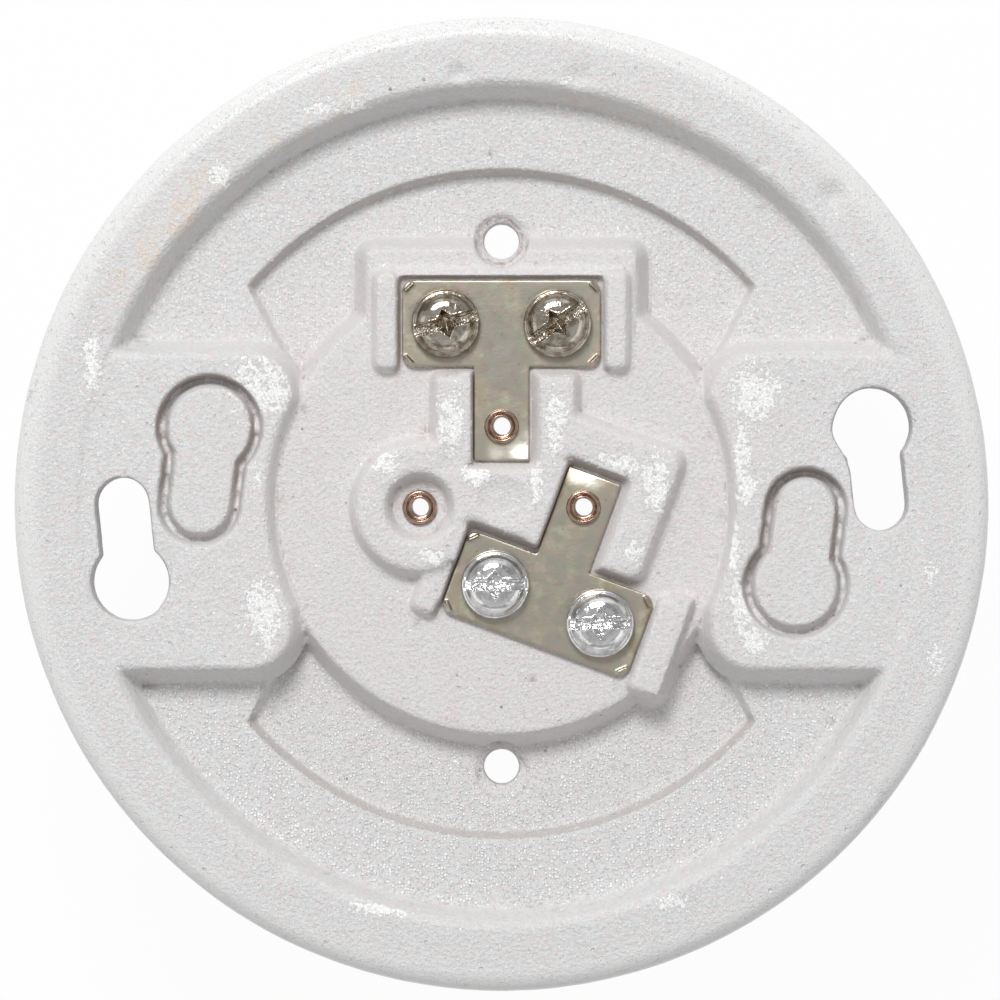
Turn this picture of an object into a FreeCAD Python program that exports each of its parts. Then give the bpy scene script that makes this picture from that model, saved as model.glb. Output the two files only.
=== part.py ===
"""Keyless lamp holder of glazed porcelain that covers a round outlet box.

Frame: the origin is the centre of the flat rim that bears on the ceiling, +Z points into
the box (the wiring side, which is the side seen here), and the lamp collar points to -Z.
+Y runs from the centre towards the live terminal. All sizes are in millimetres.

One pressed porcelain body carries everything. A T-shaped live terminal plate and a like
neutral plate lie on its wiring side with two terminal screws each. Three tubular eyelets
pass through its floor: one holds the live plate and the centre contact, and two hold the
threaded lamp shell, one of them together with the neutral plate.
"""

import FreeCAD
import Part
import math
import os

V = FreeCAD.Vector

# Porcelain rim and flange
rim_r = 57.15
rim_width = 7.95
rim_edge_round = 2.4
rim_lip_bevel = 0.6
flange_height = 8.4
flange_edge_round = 2.2
dome_rise = 7.0
wall_slope = 0.36  # run of a moulded wall for each millimetre of its height

# Sunk floors on the wiring side
gutter_depth = 5.0
well_step = 2.2
well_r = 38.6
well_half_width = 16.0  # at the centre line
well_side_lean = 27.0  # degrees that a side of the well leans from +Y

# Raised platform over the lamp collar, and the pads round the fixing slots
platform_r = 27.05
platform_drop = 3.0
platform_round = 0.6
pad_drop = 0.3
pad_inner_x = 24.6
pad_reach_up = 17.6
pad_reach_down = 19.4
pad_corner_r = 5.0
pad_round = 0.9

# Lamp collar
holder_depth = 50.0
collar_wall = 4.8  # outside the mouth, at the collar's end
collar_draft = 1.4
collar_root_round = 7.0
collar_end_round = 2.0
floor_thickness = 10.5
cup_gap = 0.95  # round the lamp shell
mouth_step = 2.2
mouth_depth = 7.5
mouth_round = 1.2

# Keyhole slots for the screws of a 4 inch box, which stand 88.9 apart
slot_inset = 12.7  # from the flange's edge to the slots' middle line
slot_width = 6.24
slot_head_r = 4.55
slot_turn = 11.8  # degrees from the narrow end to the head

# Keyhole pockets with a thin web, broken out for a 3 1/4 inch box
pocket_inset = 21.75
pocket_width = 7.3
pocket_head_r = 5.0
pocket_turn = 14.6
pocket_drop = 0.9  # of the panel's top below the pad
pocket_web = 2.0  # under the groove
groove_width = 1.3  # at the pad's surface
groove_floor = 0.25
groove_z = -4.0
recess_edge = 0.65  # of the front recess beyond the panel's outline
recess_draft = 0.05

# Round holes for a strap or canopy screw
strap_hole_spacing = 61.9
strap_hole_r = 2.1
strap_seat_r = 3.15
strap_seat_depth = 0.4

# Terminal plates, measured from the eyelet that holds them
plate_thickness = 0.9
stem_width = 6.5
stem_tail = 4.0
bar_near = 7.0
bar_depth = 10.15
bar_length = 23.3
bar_corner = 1.4
nib_length = 2.2
nib_width = 0.8
nib_height = 0.5

# Terminal screws, size 8-32
screw_spacing = 13.1
screw_shank_r = 2.0
screw_head_r = 4.0
screw_head_height = 2.3
screw_head_edge = 0.55
screw_length = 6.5
screw_backed_out = 0.8
screw_slot_width = 1.25
screw_slot_depth = 1.0
screw_cross_span = 3.9
screw_cross_width = 1.1
screw_cross_depth = 1.7
screw_running_gap = 0.05
screw_hole_gap = 0.9
screw_tip_room = 0.8

# Eyelets
eyelet_bore_r = 1.2
eyelet_wall = 0.3
eyelet_head_r = 2.05
eyelet_head_height = 0.65
eyelet_flare_height = 0.5
eyelet_gap = 0.06

# Where the eyelets stand, and how the neutral terminal is turned
live_eyelet_y = 9.1
shell_eyelet_inset = 3.25  # inside the lamp thread
shell_eyelet_y = -0.4
neutral_turn = 159.7

# Porcelain round the terminals
seat_gap = 0.22
seat_slope = 0.2
boss_drop = 0.35
boss_wall = 4.5
boss_bevel = 0.4
lone_boss_r = 7.5
lone_pocket_r = 3.1
arm_drop = 1.2
arm_width = 2.5
arm_corner_r = 0.8
arm_bevel = 0.35
fence_width = 0.4
fence_above_plate = 0.2
fence_slope = 0.8
block_margin = 0.5
fence_apron = 2.9
dimple_depth = 0.25
centre_dimple_r = 2.7
side_dimple_r = 2.0
side_dimple_x = -6.2
side_dimple_y = 5.4

# Threaded lamp shell for a 26 mm lamp cap
shell_wall = 0.4
shell_thread_r = 12.85  # mean inner radius of the thread
shell_thread_depth = 0.8
shell_pitch = 3.629
shell_threads = 6
shell_flank = 0.34  # share of the pitch that each sloping side of a thread takes
shell_foot = 3.2
shell_lip = 2.6
shell_lip_flare = 0.35
shell_tab_width = 7.4
shell_tab_reach = 3.4  # beyond the eyelet's centre
shell_window_width = 9.6

# Centre contact
contact_thickness = 0.5
contact_width = 6.0
contact_foot = 2.3  # beyond the eyelet's centre
contact_rise = 4.4
contact_nose_r = 1.6
contact_tail = 3.6

# Levels and places worked out from the sizes above
rim_inner_r = rim_r - rim_width
slot_pitch_r = rim_r - slot_inset
pocket_pitch_r = rim_r - pocket_inset
shell_crest_r = shell_thread_r - shell_thread_depth / 2
shell_root_r = shell_thread_r + shell_thread_depth / 2
shell_lip_r = shell_root_r + shell_lip_flare
shell_eyelet_x = shell_thread_r - shell_eyelet_inset
cup_r = shell_root_r + shell_wall + cup_gap
mouth_r = cup_r + mouth_step
collar_end_r = mouth_r + collar_wall
collar_root_r = collar_end_r + collar_draft
gutter_z = -gutter_depth
well_z = gutter_z - well_step
platform_z = -platform_drop
cup_floor_z = platform_z - floor_thickness
plate_top_z = platform_z + plate_thickness
boss_z = -boss_drop
arm_z = -arm_drop
bar_far = bar_near + bar_depth
screw_row = bar_near + bar_depth / 2
screw_seat_z = plate_top_z + screw_backed_out
eyelet_r = eyelet_bore_r + eyelet_wall
arm_inner = bar_length / 2 + seat_gap + seat_slope * (arm_z - platform_z)
arm_outer = arm_inner + arm_width
fence_z = plate_top_z + fence_above_plate
fence_inner = bar_far + seat_gap + seat_slope * (fence_z - platform_z)
shell_end_z = cup_floor_z - shell_foot - shell_threads * shell_pitch - shell_lip
EYELETS = {
    "live": (0.0, live_eyelet_y),
    "neutral": (shell_eyelet_x, shell_eyelet_y),
    "lone": (-shell_eyelet_x, shell_eyelet_y),
}
TURNS = {"live": 0.0, "neutral": neutral_turn}
SLOT_ANGLES = {"live_left": 16.0, "live_right": 34.0, "neutral_left": 1.0, "neutral_right": 2.0}


def front_z(radius):
    """Height of the glazed front of the flange at this radius."""
    share = (rim_r - radius) / (rim_r - collar_root_r)
    return -(flange_height + dome_rise * share)


def revolved(points):
    """A closed outline of (radius, height) or (radius, height, rounding) turned about Z."""
    count = len(points)
    corners = [V(point[0], 0, point[1]) for point in points]
    ends, arcs = [], []
    for n, point in enumerate(points):
        size = point[2] if len(point) > 2 else 0
        corner = corners[n]
        if not size:
            ends.append((corner, corner))
            continue
        back = (corners[n - 1] - corner).normalize()
        onward = (corners[(n + 1) % count] - corner).normalize()
        half = back.getAngle(onward) / 2
        bisector = (back + onward).normalize()
        start = corner + back * (size / math.tan(half))
        end = corner + onward * (size / math.tan(half))
        middle = corner + bisector * (size / math.sin(half) - size)
        arcs.append(Part.Arc(start, middle, end).toShape())
        ends.append((start, end))
    lines = [Part.makeLine(ends[n - 1][1], ends[n][0]) for n in range(count)]
    face = Part.Face(Part.Wire(Part.__sortEdges__(lines + arcs)))
    return face.revolve(V(0, 0, 0), V(0, 0, 1), 360)


def cone(foot_r, foot_z, top_r, top_z):
    """A round block whose radius goes from foot_r at foot_z to top_r at top_z."""
    return revolved([(0, foot_z), (foot_r, foot_z), (top_r, top_z), (0, top_z)])


def cylinder(radius, z0, z1, x=0.0, y=0.0):
    return Part.makeCylinder(radius, z1 - z0, V(x, y, z0))


def rounded_outline(u0, u1, v0, v1, corner, z):
    """A rectangle with four round corners, as a wire at height z."""
    corner = min(corner, 0.49 * (u1 - u0), 0.49 * (v1 - v0))
    quarter = math.sqrt(0.5) * corner
    edges = []
    centres = [(u1 - corner, v0 + corner), (u1 - corner, v1 - corner)]
    centres += [(u0 + corner, v1 - corner), (u0 + corner, v0 + corner)]
    ways = [(0, -1), (1, 0), (0, 1), (-1, 0)]
    for n, (cu, cv) in enumerate(centres):
        (a, b), (c, d) = ways[n], ways[(n + 1) % 4]
        start = V(cu + corner * a, cv + corner * b, z)
        middle = V(cu + quarter * (a + c), cv + quarter * (b + d), z)
        end = V(cu + corner * c, cv + corner * d, z)
        edges.append(Part.Arc(start, middle, end).toShape())
    wire = []
    for n, arc in enumerate(edges):
        following = edges[(n + 1) % 4]
        wire += [arc, Part.makeLine(arc.valueAt(arc.LastParameter), following.valueAt(following.FirstParameter))]
    return Part.Wire(wire)


def raised(u0, u1, v0, v1, corner, top_z, foot_z, slope=None):
    """A moulded block: its top is the rectangle given, and its walls spread to the foot."""
    run = (wall_slope if slope is None else slope) * (top_z - foot_z)
    top = rounded_outline(u0, u1, v0, v1, corner, top_z)
    foot = rounded_outline(u0 - run, u1 + run, v0 - run, v1 + run, corner + run, foot_z)
    return Part.makeLoft([foot, top], True, True)


def sunk(u0, u1, v0, v1, corner, floor_z, top_z, slope=None):
    """The tool for a moulded pocket: its floor is the rectangle given, and it widens upwards."""
    run = (wall_slope if slope is None else slope) * (top_z - floor_z)
    floor = rounded_outline(u0, u1, v0, v1, corner, floor_z)
    top = rounded_outline(u0 - run, u1 + run, v0 - run, v1 + run, corner + run, top_z)
    return Part.makeLoft([floor, top], True, True)


def edges_at(shape, z, reach=None):
    """The edges that lie flat at height z, or those among them that reach this far along X."""
    found = []
    for edge in shape.Edges:
        box = edge.BoundBox
        level = abs(box.ZMin - z) < 1e-4 and abs(box.ZMax - z) < 1e-4
        if level and (reach is None or abs(box.XMax - reach) < 1e-3):
            found.append(edge)
    return found


def rounded(shape, z, radius, reach=None):
    return shape.makeFillet(radius, edges_at(shape, z, reach))


def bevelled(shape, z, width, reach=None):
    return shape.makeChamfer(width, edges_at(shape, z, reach))


def at_terminal(shape, which):
    """Moves a shape drawn about a terminal's eyelet, bar towards +Y, to its place."""
    x, y = EYELETS[which]
    placed = shape.copy()
    placed.rotate(V(0, 0, 0), V(0, 0, 1), TURNS[which])
    placed.translate(V(x, y, 0))
    return placed


def terminal_point(which, u, v):
    """A point given about a terminal's eyelet, in the holder's frame."""
    x, y = EYELETS[which]
    turn = math.radians(TURNS[which])
    return x + u * math.cos(turn) - v * math.sin(turn), y + u * math.sin(turn) + v * math.cos(turn)


def keyhole_outline(pitch_r, narrow_r, head_r, turn, z):
    """A keyhole about the circle of radius pitch_r: narrow end on +X, head turned towards +Y."""
    narrow = V(pitch_r, 0, z)
    angle = math.radians(turn)
    head = V(pitch_r * math.cos(angle), pitch_r * math.sin(angle), z)
    along = (head - narrow).normalize()
    across = V(along.y, -along.x, 0)
    reach = math.sqrt(head_r**2 - narrow_r**2)
    mouth = head - along * reach
    right, left = mouth + across * narrow_r, mouth - across * narrow_r
    return Part.Wire([
        Part.Arc(narrow - across * narrow_r, narrow - along * narrow_r, narrow + across * narrow_r).toShape(),
        Part.makeLine(narrow + across * narrow_r, right),
        Part.Arc(right, head + along * head_r, left).toShape(),
        Part.makeLine(left, narrow - across * narrow_r),
    ])


def half_turned(shape):
    """The same shape on the other side of the Z axis."""
    other = shape.copy()
    other.rotate(V(0, 0, 0), V(0, 0, 1), 180)
    return other


def turned_blank():
    """Flange, dome and collar as one turned form, with the cup for the lamp shell."""
    end_z = -holder_depth
    ledge_z = end_z + mouth_depth
    return revolved([
        (0, 0),
        (rim_r, 0, rim_edge_round),
        (rim_r, -flange_height, flange_edge_round),
        (collar_root_r, front_z(collar_root_r), collar_root_round),
        (collar_end_r, end_z, collar_end_round),
        (mouth_r, end_z, mouth_round),
        (mouth_r, ledge_z),
        (cup_r, ledge_z),
        (cup_r, cup_floor_z),
        (0, cup_floor_z),
    ])


def sunk_floors():
    """The gutter inside the rim, and the deeper well above and below the platform."""
    above = 1.0
    gutter_foot_r = rim_inner_r - wall_slope * gutter_depth
    gutter = cone(gutter_foot_r, gutter_z, rim_inner_r + wall_slope * above, above)
    well = cone(well_r, well_z, well_r + wall_slope * (well_step + above), gutter_z + above)
    lean = math.tan(math.radians(well_side_lean))
    reach = rim_r
    shift = wall_slope * (well_step + above)

    def sector(z, grow):
        near = well_half_width + grow
        far = near + lean * reach
        corners = [V(-near, 0, z), V(near, 0, z), V(far, reach, z), V(-far, reach, z)]
        return Part.makePolygon(corners + corners[:1])

    upper = Part.makeLoft([sector(well_z, 0), sector(gutter_z + above, shift)], True, True)
    both = upper.fuse(half_turned(upper)).removeSplitter()
    return gutter.fuse(well.common(both))


def pad(side):
    """The raised pad that carries one slot and one pocket, on the +X or -X side."""
    foot_z = gutter_z - 0.5
    inner, outer = sorted((side * pad_inner_x, side * (rim_inner_r + rim_width / 8)))
    block = raised(inner, outer, -pad_reach_down, pad_reach_up, pad_corner_r, -pad_drop, foot_z)
    clear_foot_r = platform_r - 0.5 * wall_slope * (platform_drop - pad_drop)
    clear_top_r = clear_foot_r + wall_slope * (1 + platform_drop)
    block = block.cut(cone(clear_foot_r, platform_z, clear_top_r, 1.0))
    return rounded(block, -pad_drop, pad_round)


def terminal_boss():
    """The raised S-shaped boss that keeps the two plates and the lone eyelet apart."""
    lone_x, lone_y = EYELETS["lone"]
    foot_z = platform_z - 0.5
    channel = stem_width / 2 + seat_gap
    run = wall_slope * (boss_z - platform_z)
    left = -channel - run - boss_wall
    boss = cone(lone_boss_r + wall_slope * (boss_z - foot_z), foot_z, lone_boss_r, boss_z)
    boss.translate(V(lone_x, lone_y, 0))
    live_top = live_eyelet_y + bar_near - seat_gap - run
    boss = boss.fuse(raised(left, -left, shell_eyelet_y, live_top, 0.6, boss_z, foot_z))
    top_edge = -(stem_tail + seat_gap + run + boss_wall)
    near_edge = bar_near - seat_gap - run
    right_arm = raised(left, 0, top_edge, near_edge, 1.4, boss_z, foot_z)
    left_arm = raised(-boss_wall, arm_inner, top_edge, near_edge, 0.6, boss_z, foot_z)
    for part in (right_arm, left_arm):
        boss = boss.fuse(at_terminal(part, "neutral"))
    return boss


def terminal_seats():
    """Tools that open the boss for the two plates and the lone eyelet."""
    top_z = boss_z + 0.5
    lone_x, lone_y = EYELETS["lone"]
    channel = stem_width / 2 + seat_gap
    stem = sunk(-channel, channel, -stem_tail - seat_gap, bar_far, 0.3, platform_z, top_z)
    bar_end = bar_length / 2 + seat_gap
    bar = sunk(-bar_end, bar_end, bar_near - seat_gap, bar_far + boss_wall, 0.5, platform_z, top_z)
    pocket = cone(lone_pocket_r, platform_z, lone_pocket_r + wall_slope * (top_z - platform_z), top_z)
    pocket.translate(V(lone_x, lone_y, 0))
    return [at_terminal(stem, "live"), at_terminal(stem, "neutral"), at_terminal(bar, "neutral"), pocket]


def dimples():
    """Tools for the two faint round marks that the press pins leave on the boss."""
    places = ((centre_dimple_r, 0, 0), (side_dimple_r, side_dimple_x, side_dimple_y))
    return [cylinder(radius, boss_z - dimple_depth, 1, x, y) for radius, x, y in places]


def terminal_blocks():
    """The platform's square shoulders under the two terminal bars."""
    foot_z = well_z - 0.5
    half = arm_outer + wall_slope * (arm_z - platform_z) + block_margin
    blocks = []
    for which, apron in (("live", fence_apron + fence_width), ("neutral", block_margin)):
        far = fence_inner + apron
        block = raised(-half, half, 0, far, 1.0, platform_z, foot_z)
        blocks.append(at_terminal(rounded(block, platform_z, platform_round), which))
    return blocks


def terminal_arms():
    """Low walls that hold each bar in line, with a fence behind the live bar."""
    foot_z = platform_z - 0.3
    arms = []
    near = bar_near - seat_gap
    for which in ("live", "neutral"):
        for u0, u1 in ((-arm_outer, -arm_inner), (arm_inner, arm_outer)):
            arm = raised(u0, u1, near, fence_inner + fence_width, arm_corner_r, arm_z, foot_z)
            arms.append(at_terminal(bevelled(arm, arm_z, arm_bevel), which))
    fence_outer = fence_inner + fence_width
    fence = raised(-arm_inner, arm_inner, fence_inner, fence_outer, 0.1, fence_z, foot_z, fence_slope)
    arms.append(at_terminal(fence, "live"))
    return arms


def pocket_outline(outset, z):
    """The outline of a break-out panel, grown outwards by outset."""
    narrow_r, head_r = pocket_width / 2 + outset, pocket_head_r + outset
    return keyhole_outline(pocket_pitch_r, narrow_r, head_r, -pocket_turn, z)


def break_out_panel():
    """Tools for the groove round a panel, and for the recess that thins it from the front."""
    top_z = -pad_drop - pocket_drop
    foot = (groove_width - groove_floor) / 2
    spread = (groove_width - foot - groove_floor) / (-pad_drop - groove_z)
    outer = [pocket_outline(foot + groove_floor, groove_z), pocket_outline(groove_width + spread, 1 - pad_drop)]
    panel = [pocket_outline(foot, groove_z), pocket_outline(0, top_z - 0.4), pocket_outline(-0.3, top_z)]
    groove = Part.makeLoft(outer, True, True).cut(Part.makeLoft(panel, True, True))
    floor_z = groove_z - pocket_web
    open_z = -holder_depth
    edge = recess_edge + recess_draft * (floor_z - open_z)
    recess = Part.makeLoft([pocket_outline(edge, open_z), pocket_outline(recess_edge, floor_z)], True, True)
    return [groove, recess]


def fixing_openings():
    """Tools for the through slots, the break-out panels and the strap holes."""
    slot = keyhole_outline(slot_pitch_r, slot_width / 2, slot_head_r, slot_turn, -holder_depth)
    slot = Part.Face(slot).extrude(V(0, 0, holder_depth + 1))
    strap_y = strap_hole_spacing / 2
    strap = cylinder(strap_hole_r, -holder_depth, 1, 0, strap_y)
    strap = strap.fuse(cylinder(strap_seat_r, well_z - strap_seat_depth, 1, 0, strap_y))
    tools = []
    for tool in [slot, strap] + break_out_panel():
        tools += [tool, half_turned(tool)]
    return tools


def hardware_holes():
    """Tools for the three eyelet holes and the four blind screw holes."""
    tools = []
    for x, y in EYELETS.values():
        tools.append(cylinder(eyelet_r + 3 * eyelet_gap, cup_floor_z - 1, platform_z + 1, x, y))
    depth = screw_length - plate_thickness + screw_tip_room
    for which in TURNS:
        for side in (-1, 1):
            x, y = terminal_point(which, side * screw_spacing / 2, screw_row)
            tools.append(cylinder(screw_shank_r + screw_hole_gap, platform_z - depth, platform_z + 1, x, y))
    return tools


def porcelain_body():
    body = turned_blank().cut(sunk_floors())
    body = bevelled(body, 0, rim_lip_bevel, rim_inner_r)
    platform_foot_r = platform_r + wall_slope * (platform_z - well_z + 0.5)
    platform = cone(platform_foot_r, well_z - 0.5, platform_r, platform_z)
    platform = rounded(platform, platform_z, platform_round)
    boss = terminal_boss()
    for tool in terminal_seats():
        boss = boss.cut(tool)
    boss = bevelled(boss.removeSplitter(), boss_z, boss_bevel)
    for piece in [platform, pad(1), pad(-1)] + terminal_blocks() + terminal_arms() + [boss]:
        body = body.fuse(piece)
    bar_room = bar_length / 2 + seat_gap
    near, far = bar_near - seat_gap, bar_far + seat_gap
    bar = sunk(-bar_room, bar_room, near, far, 0.3, platform_z, 1.0, seat_slope)
    bars = [at_terminal(bar, which) for which in TURNS]
    for tool in bars + dimples() + fixing_openings() + hardware_holes():
        body = body.cut(tool)
    return body.removeSplitter()


def corner_nib():
    """A short ridge that stands on a plate, its length along X."""
    half, foot_z = nib_length / 2, plate_top_z - 0.1
    corners = [V(-half, -nib_width / 2, foot_z), V(-half, nib_width / 2, foot_z)]
    corners.append(V(-half, 0, plate_top_z + nib_height))
    return Part.Face(Part.makePolygon(corners + corners[:1])).extrude(V(nib_length, 0, 0))


def terminal_plate(which):
    """A T-shaped plate with a ridge pressed up across each corner of its bar."""
    half, stem = bar_length / 2, stem_width / 2
    inset = 0.78 * bar_corner
    bar = Part.Face(rounded_outline(-half, half, bar_near, bar_far, bar_corner, platform_z))
    plate = bar.extrude(V(0, 0, plate_thickness))
    tail = Part.makeBox(stem_width, stem_tail + bar_near + bar_corner, plate_thickness)
    tail.translate(V(-stem, -stem_tail, platform_z))
    plate = plate.fuse(tail).removeSplitter()
    plate = plate.cut(cylinder(eyelet_r + eyelet_gap, platform_z - 1, plate_top_z + 1))
    for side in (-1, 1):
        hole_r = screw_shank_r + screw_running_gap
        plate = plate.cut(cylinder(hole_r, platform_z - 1, plate_top_z + 1, side * screw_spacing / 2, screw_row))
        for v, towards in ((bar_near + inset, 1), (bar_far - inset, -1)):
            nib = corner_nib()
            nib.rotate(V(0, 0, 0), V(0, 0, 1), 45 * side * towards)
            nib.translate(V(side * (half - inset), v, 0))
            plate = plate.fuse(nib)
    return at_terminal(plate, which)


def screw_recess():
    """The tool for the combined slot and cross drive, about the top of the head."""
    top = screw_head_height
    slot = Part.makeBox(2.2 * screw_head_r, screw_slot_width, screw_slot_depth + 1)
    slot.translate(V(-1.1 * screw_head_r, -screw_slot_width / 2, top - screw_slot_depth))
    recess = slot
    for span, width in ((screw_cross_span, screw_cross_width), (screw_cross_width, screw_cross_span)):
        a, b = span / 2, width / 2
        floor = rounded_outline(-a * 0.4, a * 0.4, -b * 0.4, b * 0.4, 0.05, top - screw_cross_depth)
        mouth = rounded_outline(-a, a, -b, b, 0.1, top + 0.2)
        recess = recess.fuse(Part.makeLoft([floor, mouth], True, True))
    return recess


def terminal_screw(which, side, slot_angle):
    """A pan-head screw with its head clear of the plate by the distance it is backed out."""
    height, thread_r = screw_head_height, screw_shank_r
    screw = revolved([
        (0, -screw_length),
        (0.8 * thread_r, -screw_length),
        (thread_r, 0.2 * thread_r - screw_length),
        (thread_r, 0),
        (screw_head_r, 0),
        (screw_head_r, screw_head_edge),
        (0.9 * screw_head_r, 0.6 * height),
        (0.65 * screw_head_r, 0.88 * height),
        (0.3 * screw_head_r, height),
        (0, height),
    ])
    recess = screw_recess()
    recess.rotate(V(0, 0, 0), V(0, 0, 1), slot_angle)
    screw = screw.cut(recess)
    x, y = terminal_point(which, side * screw_spacing / 2, screw_row)
    screw.translate(V(x, y, screw_seat_z))
    return screw


def eyelet(which, head_z, foot_z):
    """A tube with a rolled head that bears on head_z and a flared foot under foot_z."""
    roll = (eyelet_head_r - eyelet_bore_r) / 4
    turned = revolved([
        (eyelet_bore_r, foot_z - eyelet_flare_height),
        (eyelet_bore_r, head_z + eyelet_head_height / 2),
        (eyelet_bore_r + roll, head_z + eyelet_head_height),
        (eyelet_head_r - roll, head_z + eyelet_head_height),
        (eyelet_head_r, head_z + eyelet_head_height / 2),
        (eyelet_head_r, head_z),
        (eyelet_r, head_z),
        (eyelet_r, foot_z),
        (eyelet_head_r, foot_z),
    ])
    turned.translate(V(*EYELETS[which], 0))
    return turned


def shell_wall_line(outside):
    """Points of the rolled wall from its lip to its foot, this far outside the inner face."""
    lip_z = shell_end_z + shell_lip
    crest, root = shell_crest_r + outside, shell_root_r + outside
    points = [(shell_lip_r + outside, shell_end_z), (shell_lip_r + outside, lip_z)]
    for thread in range(shell_threads):
        start_z = lip_z + thread * shell_pitch
        for radius, share in ((crest, shell_flank), (crest, 0.5), (root, 0.5 + shell_flank), (root, 1.0)):
            points.append((radius, start_z + share * shell_pitch))
    return points + [(root, cup_floor_z)]


def screw_shell():
    """The threaded lamp shell with the two tabs that the eyelets hold."""
    wall = revolved(shell_wall_line(0) + shell_wall_line(shell_wall)[::-1])
    tab_z = cup_floor_z - shell_wall
    disc = cylinder(shell_root_r + shell_wall / 2, tab_z, cup_floor_z)
    strip = Part.makeBox(4 * cup_r, shell_tab_width, shell_wall)
    strip.translate(V(-2 * cup_r, -shell_tab_width / 2, tab_z))
    tabs = disc.common(strip).cut(cylinder(shell_eyelet_x - shell_tab_reach, tab_z - 1, cup_floor_z + 1))
    for which in ("neutral", "lone"):
        tabs = tabs.cut(cylinder(eyelet_r + eyelet_gap, tab_z - 1, cup_floor_z + 1, *EYELETS[which]))
    window = Part.makeBox(shell_window_width, 2 * cup_r, shell_foot)
    window.translate(V(-shell_window_width / 2, 0, cup_floor_z - shell_foot + 0.4))
    return wall.cut(window).fuse(tabs)


def centre_contact():
    """A springy strip: a foot under the live eyelet, and a bent nose under the lamp's tip."""
    half = contact_thickness / 2
    foot_z = cup_floor_z - half
    nose_z = foot_z - contact_rise
    points = [
        V(0, live_eyelet_y + contact_foot, foot_z),
        V(0, live_eyelet_y - 1.2 * eyelet_head_r, foot_z),
        V(0, contact_nose_r, nose_z + 0.4),
        V(0, 0, nose_z),
        V(0, -contact_nose_r, nose_z + 0.4),
        V(0, -contact_tail, nose_z + 1.6),
    ]
    line = Part.Wire([
        Part.makeLine(points[0], points[1]),
        Part.makeLine(points[1], points[2]),
        Part.Arc(points[2], points[3], points[4]).toShape(),
        Part.makeLine(points[4], points[5]),
    ])
    band = line.makeOffset2D(half, 0, True, False)
    strip = band.extrude(V(contact_width, 0, 0))
    strip.translate(V(-contact_width / 2, 0, 0))
    return strip.cut(cylinder(eyelet_r + eyelet_gap, cup_floor_z - 2, cup_floor_z + 1, 0, live_eyelet_y))


def build():
    tab_z = cup_floor_z - shell_wall
    contact_z = cup_floor_z - contact_thickness
    return {
        "porcelain_body": porcelain_body(),
        "screw_shell": screw_shell(),
        "centre_contact": centre_contact(),
        "live_terminal_plate": terminal_plate("live"),
        "neutral_terminal_plate": terminal_plate("neutral"),
        "live_screw_left": terminal_screw("live", -1, SLOT_ANGLES["live_left"]),
        "live_screw_right": terminal_screw("live", 1, SLOT_ANGLES["live_right"]),
        "neutral_screw_left": terminal_screw("neutral", 1, SLOT_ANGLES["neutral_left"]),
        "neutral_screw_right": terminal_screw("neutral", -1, SLOT_ANGLES["neutral_right"]),
        "live_eyelet": eyelet("live", plate_top_z, contact_z),
        "neutral_eyelet": eyelet("neutral", plate_top_z, tab_z),
        "lone_eyelet": eyelet("lone", platform_z, tab_z),
    }


def main():
    os.makedirs("parts", exist_ok=True)
    for name, shape in build().items():
        shape.exportStep("parts/" + name + ".step")
        sound = shape.isValid()
        print(name, "solids", len(shape.Solids), "valid", sound, "volume", round(shape.Volume, 2))


main()
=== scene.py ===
"""Looks of the outlet box lamp holder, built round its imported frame.

Everything is in metres in the frame's own axes: +Z out of the wiring side, +Y towards the live
terminal. Pieces are shaped in millimetres and brought to metres when they are finished.
"""

import math

import bmesh
import bpy
import numpy as np
from mathutils import Matrix, Vector, kdtree, noise


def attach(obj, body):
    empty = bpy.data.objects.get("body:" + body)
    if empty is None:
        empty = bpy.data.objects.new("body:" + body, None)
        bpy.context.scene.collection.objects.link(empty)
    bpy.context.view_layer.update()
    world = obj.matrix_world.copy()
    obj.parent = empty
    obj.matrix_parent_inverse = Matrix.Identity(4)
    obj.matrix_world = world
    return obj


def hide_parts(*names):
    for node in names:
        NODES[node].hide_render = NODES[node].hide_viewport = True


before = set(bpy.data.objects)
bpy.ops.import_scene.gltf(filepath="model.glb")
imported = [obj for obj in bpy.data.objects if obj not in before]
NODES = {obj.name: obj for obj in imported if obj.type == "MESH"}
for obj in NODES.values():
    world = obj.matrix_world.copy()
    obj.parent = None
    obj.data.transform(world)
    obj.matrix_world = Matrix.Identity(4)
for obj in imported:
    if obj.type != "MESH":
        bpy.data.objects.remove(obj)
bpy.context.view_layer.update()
MM = 0.001

# Sizes of the porcelain in millimetres
RIM_R = 57.15
RIM_INNER_R = 49.2
FLANGE_HEIGHT = 8.4
WALL_SLOPE = 0.36
COLLAR_ROOT_R = 23.0
COLLAR_ROOT_Z = -15.4
COLLAR_END_R = 21.6
DEPTH = 50.0
CONE_DROP = 7.0
MOUTH_R = 16.8
CUP_R = 14.6
CUP_FLOOR_Z = -13.5
MOUTH_LEDGE_Z = -42.5
WELL_R = 38.6
WELL_Z = -7.2
GUTTER_Z = -5.0
PLATFORM_R = 27.05
PLATFORM_Z = -3.0

# Terminals: place of the eyelet, and turn of the plate in degrees
TERMINALS = {"live": (0.0, 9.1, 0.0), "neutral": (9.6, -0.4, 159.7)}
SCREW_ROW = 12.075
SCREW_SPACING = 13.1
SCREW_BACK_OUT = 0.8
HEAD_R = 4.0
SCREW_SEAT_Z = -1.3
STEM_HALF_WIDTH = 3.25
STEM_MIDDLE = 2.0
STEM_HALF_LENGTH = 6.0
BAR_HALF_WIDTH = 11.65
BAR_HALF_DEPTH = 5.075

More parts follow.
